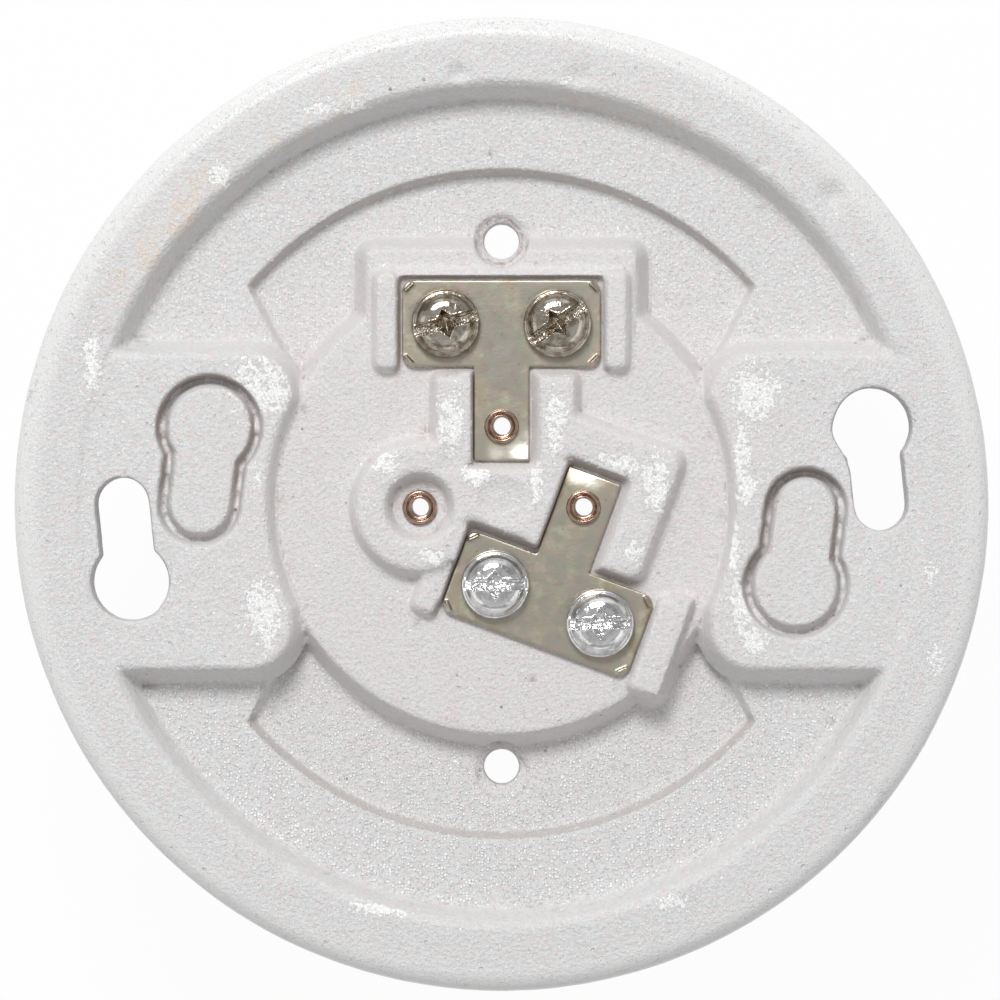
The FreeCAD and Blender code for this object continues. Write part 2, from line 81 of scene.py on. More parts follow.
# Edge of the voxels that give the even skin, in millimetres, and the most triangles of a piece
PORCELAIN_VOXEL, PORCELAIN_TRIANGLES = ((0.32, 188000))
SHELL_VOXEL, SHELL_TRIANGLES = 0.14, 110000
PLATE_VOXEL, PLATE_TRIANGLES = 0.09, 40000
CONTACT_VOXEL, CONTACT_TRIANGLES = 0.1, 16000
SCREW_TRIANGLES, EYELET_TRIANGLES = 80000, 16000


def terminal_point(which, u, v):
    """A point given about a terminal's eyelet, in the frame's millimetres."""
    x, y, turn = TERMINALS[which]
    angle = math.radians(turn)
    return x + u * math.cos(angle) - v * math.sin(angle), y + u * math.sin(angle) + v * math.cos(angle)


# Camera: place in metres, lens and sensor in millimetres
CAMERA_PLACE = (-0.00018, 0.00047, 1.2)
LENS = 368.9
SENSOR = 36.0


def place_camera():
    """Straight above the wiring side, far off, as the photograph was taken."""
    camera = bpy.data.objects.new("camera", bpy.data.cameras.new("camera"))
    camera.data.sensor_width = SENSOR
    camera.data.lens = LENS
    camera.location = CAMERA_PLACE
    bpy.context.scene.collection.objects.link(camera)
    bpy.context.scene.camera = camera


place_camera()


# Node trees

def socket(tree, name, way, kind, value=None):
    made = tree.interface.new_socket(name=name, in_out=way, socket_type=kind)
    if value is not None:
        made.default_value = value
    return made


class Wiring:
    """Short ways to place and join nodes in a shader or geometry tree."""

    def __init__(self, tree):
        self.tree = tree

    def node(self, kind, settings=None, **inputs):
        made = self.tree.nodes.new(kind)
        for key, value in (settings or {}).items():
            setattr(made, key, value)
        for key, value in inputs.items():
            self.join(made, key, value)
        return made

    def join(self, node, key, value):
        """Sets an input, or links it where the value is another node's output."""
        index = int(key[1:]) if key[0] == "i" and key[1:].isdigit() else key.replace("_", " ")
        target = node.inputs[index]
        if isinstance(value, bpy.types.NodeSocket):
            self.tree.links.new(value, target)
        else:
            target.default_value = value

    def math(self, operation, *values, clamp=False):
        made = self.tree.nodes.new("ShaderNodeMath")
        made.operation = operation
        made.use_clamp = clamp
        for index, value in enumerate(values):
            self.join(made, "i%d" % index, value)
        return made.outputs[0]

    def times(self, first, second):
        return self.math("MULTIPLY", first, second)

    def vector(self, operation, first, **other):
        return self.node("ShaderNodeVectorMath", {"operation": operation}, i0=first, **other).outputs[0]

    def ramp(self, value, low, high, to_low=0.0, to_high=1.0):
        """A smooth step from to_low at low to to_high at high."""
        made = self.node("ShaderNodeMapRange", {"interpolation_type": "SMOOTHSTEP"}, Value=value)
        for key, number in (("From_Min", low), ("From_Max", high), ("To_Min", to_low), ("To_Max", to_high)):
            self.join(made, key, number)
        return made.outputs["Result"]

    def blend(self, share, first, second, mode="MIX"):
        """A colour mix; first and second may be colours or outputs."""
        made = self.tree.nodes.new("ShaderNodeMix")
        made.data_type = "RGBA"
        made.blend_type = mode
        self.join(made, "i0", share)
        for index, value in ((6, first), (7, second)):
            self.join(made, "i%d" % index, value)
        return made.outputs[2]


# Geometry trees

def open_tree(name, numbers):
    """A geometry tree that takes a surface, these numbers and a finish."""
    tree = bpy.data.node_groups.new(name, "GeometryNodeTree")
    tree.is_modifier = True
    socket(tree, "Geometry", "INPUT", "NodeSocketGeometry")
    for key, value in numbers:
        socket(tree, key, "INPUT", "NodeSocketFloat", value)
    socket(tree, "Finish", "INPUT", "NodeSocketMaterial")
    socket(tree, "Geometry", "OUTPUT", "NodeSocketGeometry")
    w = Wiring(tree)
    return tree, w, w.node("NodeGroupInput").outputs


def close_tree(w, given, offset):
    """Ends a geometry tree: points moved by the offset, made real, and given the finish."""
    moved = w.node("GeometryNodeSetPosition", Geometry=given["Geometry"], Offset=offset)
    real = w.node("GeometryNodeRealizeInstances", Geometry=moved.outputs[0])
    done = w.node("GeometryNodeSetMaterial", Geometry=real.outputs[0], Material=given["Finish"])
    w.node("NodeGroupOutput", Geometry=done.outputs[0])


def unevenness_tree():
    """Moves a surface along its normals by two sizes of noise, so that nothing stays ruled."""
    tree, w, given = open_tree("fired_unevenness", (
        ("Swell", 0.05), ("Swell Size", 6.0), ("Ripple", 0.02), ("Ripple Size", 1.2), ("Seed", 1.0)))
    place = w.node("GeometryNodeInputPosition").outputs[0]
    parts = []
    for amount, size, shift in (("Swell", "Swell Size", 0.0), ("Ripple", "Ripple Size", 7.3)):
        scale = w.math("DIVIDE", 1.0, given[size])
        seed = w.math("ADD", given["Seed"], shift)
        pattern = w.node("ShaderNodeTexNoise", {"noise_dimensions": "4D"}, Vector=place, W=seed, Scale=scale,
                         Detail=2.0, Roughness=0.5)
        centred = w.math("SUBTRACT", pattern.outputs[0], 0.5)
        parts.append(w.times(centred, w.times(given[amount], 2.0)))
    total = w.math("ADD", *parts)
    normal = w.node("GeometryNodeInputNormal").outputs[0]
    close_tree(w, given, w.vector("SCALE", normal, Scale=total))
    return tree


def thread_tree():
    """Presses a right-handed thread into a turned surface, in place of plain rings if asked."""
    tree, w, given = open_tree("rolled_thread", (
        ("Pitch", 1.0), ("Depth", 0.4), ("Flank", 0.5), ("Flat", 0.5), ("From", 0.0), ("To", 1.0),
        ("Inner", 1.0), ("Outer", 2.0), ("Run Out", 0.5), ("Rings", 0.0)))
    x, y, z = w.node("ShaderNodeSeparateXYZ", None, i0=w.node("GeometryNodeInputPosition").outputs[0]).outputs
    radius = w.math("SQRT", w.math("ADD", w.times(x, x), w.times(y, y)))
    rings = w.math("DIVIDE", w.math("SUBTRACT", z, given["From"]), given["Pitch"])
    helix = w.math("SUBTRACT", rings, w.math("DIVIDE", w.math("ARCTAN2", y, x), 2 * math.pi))
    pressed = []
    for phase, kind in ((helix, "SMOOTHSTEP"), (rings, "LINEAR")):
        share = w.math("FRACT", phase)
        end = w.math("ADD", given["Flat"], given["Flank"])
        way = {"interpolation_type": kind}
        rise = w.node("ShaderNodeMapRange", way, Value=share, From_Max=given["Flank"])
        fall = w.node("ShaderNodeMapRange", way, Value=share, From_Min=given["Flat"], From_Max=end)
        pressed.append(w.math("SUBTRACT", rise.outputs[0], fall.outputs[0]))
    start = w.ramp(z, given["From"], w.math("ADD", given["From"], given["Run Out"]))
    stop = w.ramp(z, w.math("SUBTRACT", given["To"], given["Run Out"]), given["To"], 1.0, 0.0)
    wanted = w.times(pressed[0], w.times(start, stop))
    change = w.math("SUBTRACT", wanted, w.times(pressed[1], given["Rings"]))
    limits = (("GREATER_THAN", z, "From"), ("LESS_THAN", z, "To"), ("GREATER_THAN", radius, "Inner"),
              ("LESS_THAN", radius, "Outer"))
    for operation, value, limit in limits:
        change = w.times(change, w.math(operation, value, given[limit]))
    inwards = w.math("DIVIDE", w.times(change, w.times(given["Depth"], -1.0)), radius)
    flat = w.node("ShaderNodeCombineXYZ", None, X=x, Y=y).outputs[0]
    close_tree(w, given, w.vector("SCALE", flat, Scale=inwards))
    return tree


UNEVENNESS = unevenness_tree()
THREAD = thread_tree()


def add_tree(piece, tree, **values):
    """Adds a geometry tree to a piece and sets its named inputs."""
    modifier = piece.modifiers.new(tree.name, "NODES")
    modifier.node_group = tree
    for item in tree.interface.items_tree:
        key = item.name.replace(" ", "_").lower()
        if item.item_type == "SOCKET" and item.in_out == "INPUT" and key in values:
            modifier[item.identifier] = values[key]


def made_plain(piece):
    """Turns what the piece's modifiers give into its own mesh, and removes them."""
    graph = bpy.context.evaluated_depsgraph_get()
    plain = bpy.data.meshes.new_from_object(piece.evaluated_get(graph))
    piece.modifiers.clear()
    old = piece.data
    piece.data = plain
    bpy.data.meshes.remove(old)


# Mesh work in millimetres

def new_piece(name, mesh):
    piece = bpy.data.objects.new(name, mesh)
    bpy.context.scene.collection.objects.link(piece)
    return piece


def merged_copy(node, name):
    """A CAD node's mesh in millimetres, with the split corners of its triangles joined."""
    work = bmesh.new()
    work.from_mesh(NODES[node].data)
    bmesh.ops.scale(work, vec=(1 / MM,) * 3, verts=work.verts)
    bmesh.ops.remove_doubles(work, verts=work.verts, dist=0.001)
    mesh = bpy.data.meshes.new(name)
    work.to_mesh(mesh)
    work.free()
    return new_piece(name, mesh)


def points_of(piece, key="co"):
    """The places of a piece's vertices, or another vector of theirs, as rows of an array."""
    flat = np.empty(len(piece.data.vertices) * 3)
    piece.data.vertices.foreach_get(key, flat)
    return flat.reshape(-1, 3)


def move_points(piece, points):
    piece.data.vertices.foreach_set("co", points.reshape(-1))
    piece.data.update()


def away_from(points, x, y):
    """Distance of each point from an upright line through x and y."""
    return np.hypot(points[:, 0] - x, points[:, 1] - y)


def normals_of(piece):
    return points_of(piece, "normal")


def store(piece, name, values):
    """Keeps one number for each vertex, for the materials to read."""
    attribute = piece.data.attributes.new(name, "FLOAT", "POINT")
    attribute.data.foreach_set("value", np.asarray(values, np.float32))


def remesh(piece, voxel):
    modifier = piece.modifiers.new("even skin", "REMESH")
    modifier.mode = "VOXEL"
    modifier.voxel_size = voxel
    made_plain(piece)


def soften(piece, rounds, factor=0.5):
    modifier = piece.modifiers.new("soften", "SMOOTH")
    modifier.factor = factor
    modifier.iterations = rounds


def thin_out(piece, triangles):
    count = sum(len(face.vertices) - 2 for face in piece.data.polygons)
    if count > triangles:
        modifier = piece.modifiers.new("thin out", "DECIMATE")
        modifier.ratio = triangles / count
        made_plain(piece)


def turned(name, line, segments):
    """A line of (radius, height) turned about Z; a line that ends off the axis is closed in itself."""
    rings = [point for point in line if point[0] > 1e-6]
    open_ends = len(rings) < len(line)
    turns = np.arange(segments) * (2 * math.pi / segments)
    points = np.empty((len(rings), segments, 3))
    for n, point in enumerate(rings):
        radius, height = point
        points[n] = np.column_stack((radius * np.cos(turns), radius * np.sin(turns),
                                     np.full(segments, height)))
    vertices = points.reshape(-1, 3).tolist()
    faces = []
    for n in range(len(rings) if not open_ends else len(rings) - 1):
        above, below = n * segments, (n + 1) % len(rings) * segments
        faces += [(above + k, below + k, below + (k + 1) % segments, above + (k + 1) % segments)
                  for k in range(segments)]
    if open_ends:
        first, last = len(vertices), len(vertices) + 1
        vertices += [(0, 0, line[0][1]), (0, 0, line[-1][1])]
        end = (len(rings) - 1) * segments
        faces += [(first, k, (k + 1) % segments) for k in range(segments)]
        faces += [(last, end + (k + 1) % segments, end + k) for k in range(segments)]
    mesh = bpy.data.meshes.new(name)
    mesh.from_pydata(vertices, [], faces)
    mesh.validate()
    return new_piece(name, mesh)


def finish(piece, body, slot, finish_material, *nodes):
    """Brings a piece to metres and gives it its finish, body and nodes."""
    piece.data.transform(Matrix.Scale(MM, 4))
    piece.data.materials.clear()
    piece.data.materials.append(finish_material)
    for key, value in (("material_index", 0), ("use_smooth", True)):
        piece.data.polygons.foreach_set(key, [value] * len(piece.data.polygons))
    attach(piece, body)
    if nodes:
        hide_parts(*nodes)


# Shader groups

def shader_group(name, inputs, outputs):
    tree = bpy.data.node_groups.new(name, "ShaderNodeTree")
    for key, kind, value in inputs:
        socket(tree, key, "INPUT", "NodeSocket" + kind, value)
    for key, kind in outputs:
        socket(tree, key, "OUTPUT", "NodeSocket" + kind)
    w = Wiring(tree)
    return tree, w, w.node("NodeGroupInput").outputs


def clouds_group():
    """Soft clouds of one size, as a mask between two levels."""
    tree, w, given = shader_group(
        "clouds",
        [("Place", "Vector", None), ("Size", "Float", 1.0), ("Detail", "Float", 3.0), ("Low", "Float", 0.4),
         ("High", "Float", 0.6), ("Seed", "Float", 0.0)],
        [("Mask", "Float"), ("Height", "Float")])
    shifted = w.vector("ADD", given["Place"], i1=given["Seed"])
    pattern = w.node("ShaderNodeTexNoise", Vector=shifted, Scale=w.math("DIVIDE", 1.0, given["Size"]),
                     Detail=given["Detail"], Roughness=0.6)
    mask = w.ramp(pattern.outputs[0], given["Low"], given["High"])
    w.node("NodeGroupOutput", Mask=mask, Height=pattern.outputs[0])
    return tree


def specks_group():
    """Specks strewn at random, one in each cell of the spacing, with a number of their own."""
    tree, w, given = shader_group(
        "specks",
        [("Place", "Vector", None), ("Spacing", "Float", 2.0), ("Speck Size", "Float", 0.2),
         ("Seed", "Float", 0.0)],
        [("Mask", "Float"), ("Random", "Float")])
    shifted = w.vector("ADD", given["Place"], i1=given["Seed"])
    cells = w.node("ShaderNodeTexVoronoi", {"feature": "F1"}, Vector=shifted,
                   Scale=w.math("DIVIDE", 1.0, given["Spacing"]))
    split = w.node("ShaderNodeSeparateColor", Color=cells.outputs["Color"])
    reach = w.times(given["Speck Size"], w.math("ADD", split.outputs[2], 0.5))
    away = w.math("DIVIDE", w.times(cells.outputs["Distance"], given["Spacing"]), reach)
    w.node("NodeGroupOutput", Mask=w.ramp(away, 0.5, 1.0, 1.0, 0.0), Random=split.outputs[0])
    return tree


def scratches_group():
    """Fine lines that run one way, as polishing or rolling leaves them on sheet metal."""
    tree, w, given = shader_group(
        "fine_lines",
        [("Place", "Vector", None), ("Size", "Float", 0.1), ("Length", "Float", 20.0),
         ("Turn", "Float", 0.0)],
        [("Height", "Float")])
    rotated = w.node("ShaderNodeVectorRotate", {"rotation_type": "Z_AXIS"}, Vector=given["Place"],
                     Angle=given["Turn"])
    across = w.math("DIVIDE", 1.0, given["Size"])
    along = w.math("DIVIDE", across, given["Length"])
    scale = w.node("ShaderNodeCombineXYZ", X=along, Y=across, Z=across)
    placed = w.vector("MULTIPLY", rotated.outputs[0], i1=scale.outputs[0])
    pattern = w.node("ShaderNodeTexNoise", Vector=placed, Scale=1.0, Detail=3.0)
    w.node("NodeGroupOutput", Height=pattern.outputs[0])
    return tree


CLOUDS = clouds_group()
SPECKS = specks_group()
FINE_LINES = scratches_group()


# Materials

class Finish(Wiring):
    """A material with its shader, its coordinates in millimetres, and ways to add effects."""

    def __init__(self, name, **plain):
        self.material = bpy.data.materials.new(name)
        self.material.use_nodes = True
        super().__init__(self.material.node_tree)
        self.shader = self.tree.nodes["Principled BSDF"]
        self.use(**plain)
        coordinates = self.node("ShaderNodeTexCoord")
        scaled = self.node("ShaderNodeMapping", None, Vector=coordinates.outputs["Object"],
                           Scale=(1 / MM, 1 / MM, 1 / MM))
        self.place = scaled.outputs[0]

    def attribute(self, name):
        return self.node("ShaderNodeAttribute", {"attribute_name": name}).outputs["Fac"]

    def clouds(self, size, low=0.4, high=0.6, detail=3.0, seed=0.0, output="Mask"):
        made = self.node("ShaderNodeGroup", {"node_tree": CLOUDS}, Place=self.place, Size=size, Low=low,
                         High=high, Detail=detail, Seed=seed)
        return made.outputs[output]

    def specks(self, spacing, size, seed=0.0):
        """Specks of this size in millimetres; kept() picks some of them out."""
        return self.node("ShaderNodeGroup", {"node_tree": SPECKS}, Place=self.place, Spacing=spacing,
                         Speck_Size=size, Seed=seed).outputs

    def kept(self, specks, low, high, strength=1.0):
        """The specks whose own number lies between low and high."""
        middle, half = (low + high) / 2, (high - low) / 2
        inside = self.math("COMPARE", specks["Random"], middle, half)
        return self.times(self.times(specks["Mask"], inside), strength)

    def sum(self, *values):
        total = values[0]
        for value in values[1:]:
            total = self.math("ADD", total, value)
        return total

    def lines(self, size, length, turn=0.0):
        made = self.node("ShaderNodeGroup", {"node_tree": FINE_LINES}, Place=self.place, Size=size,
                         Length=length, Turn=math.radians(turn))
        return made.outputs["Height"]

    def bump(self, height, depth, onto=None):
        """A bump of this depth in millimetres, on top of another one if that is given."""
        made = self.node("ShaderNodeBump", None, Height=height, Strength=1.0, Distance=depth * MM)
        if onto is not None:
            self.join(made, "Normal", onto)
        return made.outputs[0]

    def use(self, **outputs):
        """Sets or links inputs of the shader."""
        for key, value in outputs.items():
            self.join(self.shader, key, value)
        return self.material


def rgb(red, green, blue):
    return (red, green, blue, 1.0)


def porcelain_finish():
    """Chalky pressed porcelain where bare, and glassy white where the glaze reached it."""
    f = Finish("porcelain", IOR=1.5)
    cover, glaze_and_lip_highlight, grit_with_painted_glints, stain = (f.attribute(name) for name in ("cover", "glaze_and_lip_highlight", "grit_with_painted_glints", "stain"))
    painted_shade_and_grime, level, blush = (f.attribute(name) for name in ("painted_shade_and_grime", "level", "blush"))
    # A run of glaze ends in a net of flakes: the higher the value, the more of it is covered. On the lip
    # edges turned towards the light these white flakes are a painted highlight.
    flakes = f.clouds(0.5, detail=4.0, output="Height")
    fray = f.times(f.clouds(0.9, detail=1.0, seed=27.0, output="Height"), 0.35)
    flake_and_lip_highlight = f.ramp(f.sum(flakes, f.times(glaze_and_lip_highlight, 0.32), fray), 0.835, 0.855)
    veins = f.math("ABSOLUTE", f.math("SUBTRACT", f.clouds(0.4, detail=2.0, seed=19.0, output="Height"), 0.5))
    flake_and_lip_highlight = f.times(flake_and_lip_highlight, f.ramp(veins, 0.006, 0.026, 0.35, 1.0))
    glazed = f.math("MAXIMUM", cover, flake_and_lip_highlight)
    # Bare body: faint rose and blue clouds, brown and dark specks, white crumbs that are partly painted
    # glints.
    rose = f.clouds(1.1, 0.46, 0.62, detail=2.0, seed=9.0)
    mottle = f.clouds(0.5, 0.38, 0.62, detail=2.0, seed=5.0, output="Height")
    body = f.blend(rose, rgb(0.71, 0.72, 0.72), rgb(0.745, 0.685, 0.69))
    stained = f.times(stain, f.ramp(flakes, 0.42, 0.56))
    tan = f.times(stained, f.clouds(3.2, 0.47, 0.6, seed=41.0))
    specks, freckles, crumb = f.specks(1.3, 0.2), f.specks(1.7, 0.42, 6.0), f.specks(0.36, 0.17, 2.0)
    # White crumbs are grit and, in part, painted glints where it catches the light
    crumbs_and_painted_glints = f.math("MAXIMUM", f.kept(crumb, 0.0, 0.4), f.clouds(0.22, 0.60, 0.66, seed=15.0))
    crumbs_and_painted_glints = f.times(crumbs_and_painted_glints, grit_with_painted_glints)
    # Layers of colour, each over the ones before, with the glaze last
    layers = ((f.ramp(mottle, 0.36, 0.60, 0.85, 0.0), (0.65, 0.645, 0.64)),
              (f.times(blush, 0.3), (0.72, 0.665, 0.665)), (tan, (0.73, 0.635, 0.54)),
              (f.kept(specks, 0.0, 0.09, 0.75), (0.60, 0.47, 0.42)),
              (f.kept(specks, 0.97, 1.0, 0.85), (0.25, 0.21, 0.19)),
              (f.kept(freckles, 0.0, 0.4, 0.42), (0.74, 0.60, 0.56)),
              (f.kept(freckles, 0.6, 0.8, 0.25), (0.72, 0.66, 0.54)), (crumbs_and_painted_glints, (0.95, 0.95, 0.95)),
              # Painted shade in crevices, in the panels' grooves, on the well's step and on walls turned away
              # from the light, tinted brown as grime
              (f.times(painted_shade_and_grime, 0.8), (0.33, 0.27, 0.24)), (flake_and_lip_highlight, (0.97, 0.97, 0.965)),
              (cover, (0.80, 0.80, 0.795)))
    colour = body
    for share, layer in layers:
        colour = f.blend(share, colour, rgb(*layer))
    rough = f.ramp(glazed, 0.0, 1.0, 0.75, 0.12)
    # Heights in millimetres: pressed grain, crumbs, pits, and the thickness of the glaze.
    matt = f.math("SUBTRACT", 1.0, f.times(glazed, 0.85))
    grain = f.times(f.times(f.times(mottle, 0.22), matt), level)
    height = f.sum(grain, f.times(crumbs_and_painted_glints, 0.09), f.kept(specks, 0.10, 0.22, -0.10),
                   f.times(flake_and_lip_highlight, 0.05))
    return f.use(Base_Color=colour, Roughness=rough, Normal=f.bump(height, 1.0))


def metal_finish(name, clean, worn, roughness, cloud=2.0, grain=0.012, lines=None, amount=0.6, tint=None,
                 painted_highlight=False):
    """Plated metal with clouds of tarnish, on the live screws partly painted dark reflections, a skin of fine
    grain or of lines, and a painted highlight if asked.
    """
    f = Finish(name, Metallic=1.0)
    edge = f.attribute("edge")
    tarnish_and_painted_reflection = f.times(f.clouds(cloud, 0.42, 0.62, detail=3.0), amount)
    tarnish_and_painted_reflection = f.math("ADD", tarnish_and_painted_reflection, f.times(edge, 0.45), clamp=True)
    colour = f.blend(tarnish_and_painted_reflection, rgb(*clean), rgb(*worn))
    if tint is not None:
        colour = f.blend(f.clouds(1.6, 0.5, 0.66, detail=2.0, seed=21.0), colour, rgb(*tint[0]))
        colour = f.blend(f.clouds(1.3, 0.53, 0.66, detail=2.0, seed=33.0), colour, rgb(*tint[1]))
    colour = f.blend(f.kept(f.specks(1.0, 0.12, 3.0), 0.0, 0.25, 0.5), colour, rgb(*(0.6 * c for c in worn)))
    rough = f.ramp(tarnish_and_painted_reflection, 0.0, 1.0, roughness, roughness + 0.12)
    if painted_highlight:
        # Painted highlight where the plates catch the light
        colour = f.blend(f.attribute("painted_highlight"), colour, rgb(0.92, 0.89, 0.80))
    height = f.times(f.clouds(0.25, detail=2.0, output="Height"), grain)
    if lines is not None:
        height = f.sum(height, f.times(f.lines(0.07, 14.0, lines), 0.006))
    if painted_highlight:
        height = f.sum(height, f.attribute("bend"))
    return f.use(Base_Color=colour, Roughness=rough, Normal=f.bump(height, 1.0))


PORCELAIN = porcelain_finish()
PLATE_NICKEL = metal_finish("plate_nickel", (0.56, 0.53, 0.465), (0.42, 0.36, 0.26), 0.30, 3.5, 0.012, 90.0,
                            tint=((0.50, 0.50, 0.39), (0.55, 0.46, 0.40)), painted_highlight=True)
# On the live screws the dark clouds are partly tarnish and partly painted dark reflections
LIVE_NICKEL = metal_finish("live_screw_nickel", (0.70, 0.65, 0.57), (0.24, 0.19, 0.14), 0.12, 1.1, 0.008)
NEUTRAL_ZINC = metal_finish("neutral_screw_zinc", (0.96, 0.965, 0.97), (0.60, 0.60, 0.60), 0.12, 1.0, 0.008)
COPPER = metal_finish("eyelet_copper", (0.62, 0.44, 0.35), (0.30, 0.19, 0.14), 0.2, 0.8, 0.01)
ALUMINIUM = metal_finish("shell_aluminium", (0.80, 0.79, 0.77), (0.62, 0.60, 0.56), 0.26, 5.0, 0.006, 0.0)
BRASS = metal_finish("contact_brass", (0.76, 0.61, 0.34), (0.55, 0.40, 0.20), 0.28, 2.5, 0.008, 90.0)


# Porcelain

def rounded_line(points, step=0.08):
    """Samples of a line of (radius, height, rounding) corners, as arcs and straights."""
    corners = [Vector(point[:2]) for point in points]
    samples = []
    last = corners[0]
    for n in range(1, len(points)):
        corner = corners[n]
        size = points[n][2] if len(points[n]) > 2 else 0.0
        arc = [corner]
        if size and n + 1 < len(points):
            back = (corners[n - 1] - corner).normalized()
            onward = (corners[n + 1] - corner).normalized()
            half = back.angle(onward) / 2
            centre = corner + (back + onward).normalized() * (size / math.sin(half))
            start = corner + back * (size / math.tan(half)) - centre
            end = corner + onward * (size / math.tan(half)) - centre
            steps = max(2, int(size * math.pi / 2 / step))
            arc = [centre + start.slerp(end, k / steps, start).normalized() * size for k in range(steps + 1)]
        run = max(1, int((arc[0] - last).length / step))
        samples += [last.lerp(arc[0], k / run) for k in range(run)] + arc[:-1]
        last = arc[-1]
    return samples + [last]


def turned_lines():
    """The lines whose turning about Z gives the round surfaces of the porcelain."""
    outside = [(RIM_INNER_R + 0.6, 0), (RIM_R, 0, 2.4), (RIM_R, -FLANGE_HEIGHT, 2.2),
               (COLLAR_ROOT_R, COLLAR_ROOT_Z, 7.0), (COLLAR_END_R, -DEPTH, 2.0), (MOUTH_R, -DEPTH, 1.2),
               (MOUTH_R, MOUTH_LEDGE_Z), (CUP_R, MOUTH_LEDGE_Z), (CUP_R, CUP_FLOOR_Z)]
    rim_wall = [(RIM_INNER_R + 0.3, 0), (RIM_INNER_R - 0.05, -0.6),
                (RIM_INNER_R + WALL_SLOPE * GUTTER_Z, GUTTER_Z)]
    well_wall = [(WELL_R, WELL_Z), (WELL_R + WALL_SLOPE * (GUTTER_Z - WELL_Z), GUTTER_Z)]
    platform = [(PLATFORM_R - 2, PLATFORM_Z), (PLATFORM_R, PLATFORM_Z, 0.6),
                (PLATFORM_R + WALL_SLOPE * (PLATFORM_Z - WELL_Z), WELL_Z)]
    return [rounded_line(line) for line in (outside, rim_wall, well_wall, platform)]


def make_round(piece, reach=0.09):
    """Puts each point that lies near a turned surface exactly on it."""
    samples = [point for line in turned_lines() for point in line]
    tree = kdtree.KDTree(len(samples))
    for n, point in enumerate(samples):
        tree.insert((point[0], point[1], 0), n)
    tree.balance()
    points = points_of(piece)
    radius = np.hypot(points[:, 0], points[:, 1])
    for n in range(len(points)):
        near, _, away = tree.find((radius[n], points[n, 2], 0))
        if away < reach and radius[n] > 1:
            points[n, :2] *= near[0] / radius[n]
            points[n, 2] = near[1]
    move_points(piece, points)


# Radii between which the rim's glaze starts, thickness counted as front skin, and middle of the panels
RIM_GLAZE = (53.6, 56.6)
FRONT_SKIN = 0.8
PANEL_X, PANEL_Y = 34.4, 5.0

# Dents in the rim's lip: x, y, radius and depth in millimetres
DENTS = ((-5.0, 50.4, 1.3, 0.7), (9.0, 50.0, 1.6, 0.55), (38.9, 36.1, 1.8, 0.7), (-4.0, 54.0, 1.6, 0.2),
         (22.5, 44.3, 1.0, 0.35), (-21.0, 45.4, 1.1, 0.3), (30.6, 39.6, 0.9, 0.35), (-33.0, 37.6, 1.2, 0.3),
         (-46.2, 19.6, 1.3, 0.3), (47.0, 17.4, 1.2, 0.3), (17.6, -46.3, 1.2, 0.3), (-25.5, -42.6, 1.3, 0.3))

# Places where glaze ran onto the wiring side: x, y, half length in x and in y
GLAZE_PATCHES = (
    (-5.9, 9.8, 1.9, 4.6), (6.4, 9.6, 1.7, 4.6), (-13.6, 4.6, 1.9, 1.6), (-8.0, -6.1, 1.9, 1.1),
    (-3.0, 3.5, 2.4, 1.8), (4.0, 2.6, 1.0, 3.2), (13.0, 4.6, 4.4, 1.4), (18.2, 2.5, 1.8, 4.4),
    (15.8, -5.6, 1.3, 2.0),
    (-28.6, 13.6, 4.0, 4.4), (-28.6, 3.2, 0.9, 1.8), (-28.6, -12.0, 1.8, 4.2), (29.2, 13.4, 2.8, 3.4),
    (28.8, 2.0, 1.6, 2.4), (28.0, -12.0, 1.5, 4.2), (50.9, -18.2, 1.2, 2.4), (50.4, -8.0, 1.0, 1.6),
    (-16.6, 46.0, 2.2, 1.4), (7.6, 49.8, 1.0, 0.8), (-13.4, -47.2, 5.4, 1.3), (20.0, -46.6, 2.6, 1.1),
    (-48.0, 16.8, 1.3, 4.6), (44.0, -36.0, 1.8, 3.6), (-55.2, 18.0, 0.9, 7.0), (28.2, 6.0, 1.3, 4.6),
    (27.2, -5.0, 0.8, 5.0), (29.8, -16.0, 2.2, 2.0), (29.6, 13.0, 3.4, 3.9), (-28.0, 13.0, 4.6, 3.0),
    (-27.6, -13.0, 2.0, 5.2), (-33.0, 38.8, 1.6, 1.8), (-21.2, 46.4, 2.2, 1.0))

# Where the slots' wide ends are chipped: x, y, radius, and shift in x, y and z
CHIPS = ((40.4, 8.6, 1.6, -0.75, 0.1, -0.35), (41.2, 5.6, 1.3, -0.4, -0.2, -0.2),
         (-41.4, -12.6, 1.2, 0.3, -0.2, -0.2))

# Shallow round seats: x, y, radius and depth in millimetres
SEATS = ((-0.35, 1.05, 2.35, 0.16), (-0.2, 31.0, 2.85, 0.28), (0.2, -32.0, 3.1, 0.2))


def press_dents(piece):
    """Presses shallow dents and nicks into the soft rim, and chips the slots' edges."""
    points = points_of(piece)
    for x, y, radius, depth in SEATS:
        inside = falling_step(away_from(points, x, y), radius - 0.2, radius + 0.2)
        points[:, 2] -= depth * inside * smooth_step(points[:, 2], -9, -8)
    for x, y, radius, *shift in CHIPS:
        away = away_from(points, x, y) / radius
        share = np.exp(-(away ** 2) * 1.6) * smooth_step(points[:, 2], -9, -1)
        points += share[:, None] * np.array(shift)
    for x, y, radius, depth in DENTS:
        away = away_from(points, x, y) / radius
        top = points[:, 2] > -3
        points[:, 2] -= np.where(top, depth * np.exp(-(away ** 2) * 1.6), 0)
    move_points(piece, points)


def smooth_step(values, low, high):
    share = np.clip((values - low) / (high - low), 0, 1)
    return share * share * (3 - 2 * share)


def falling_step(values, low, high):
    return 1 - smooth_step(values, low, high)


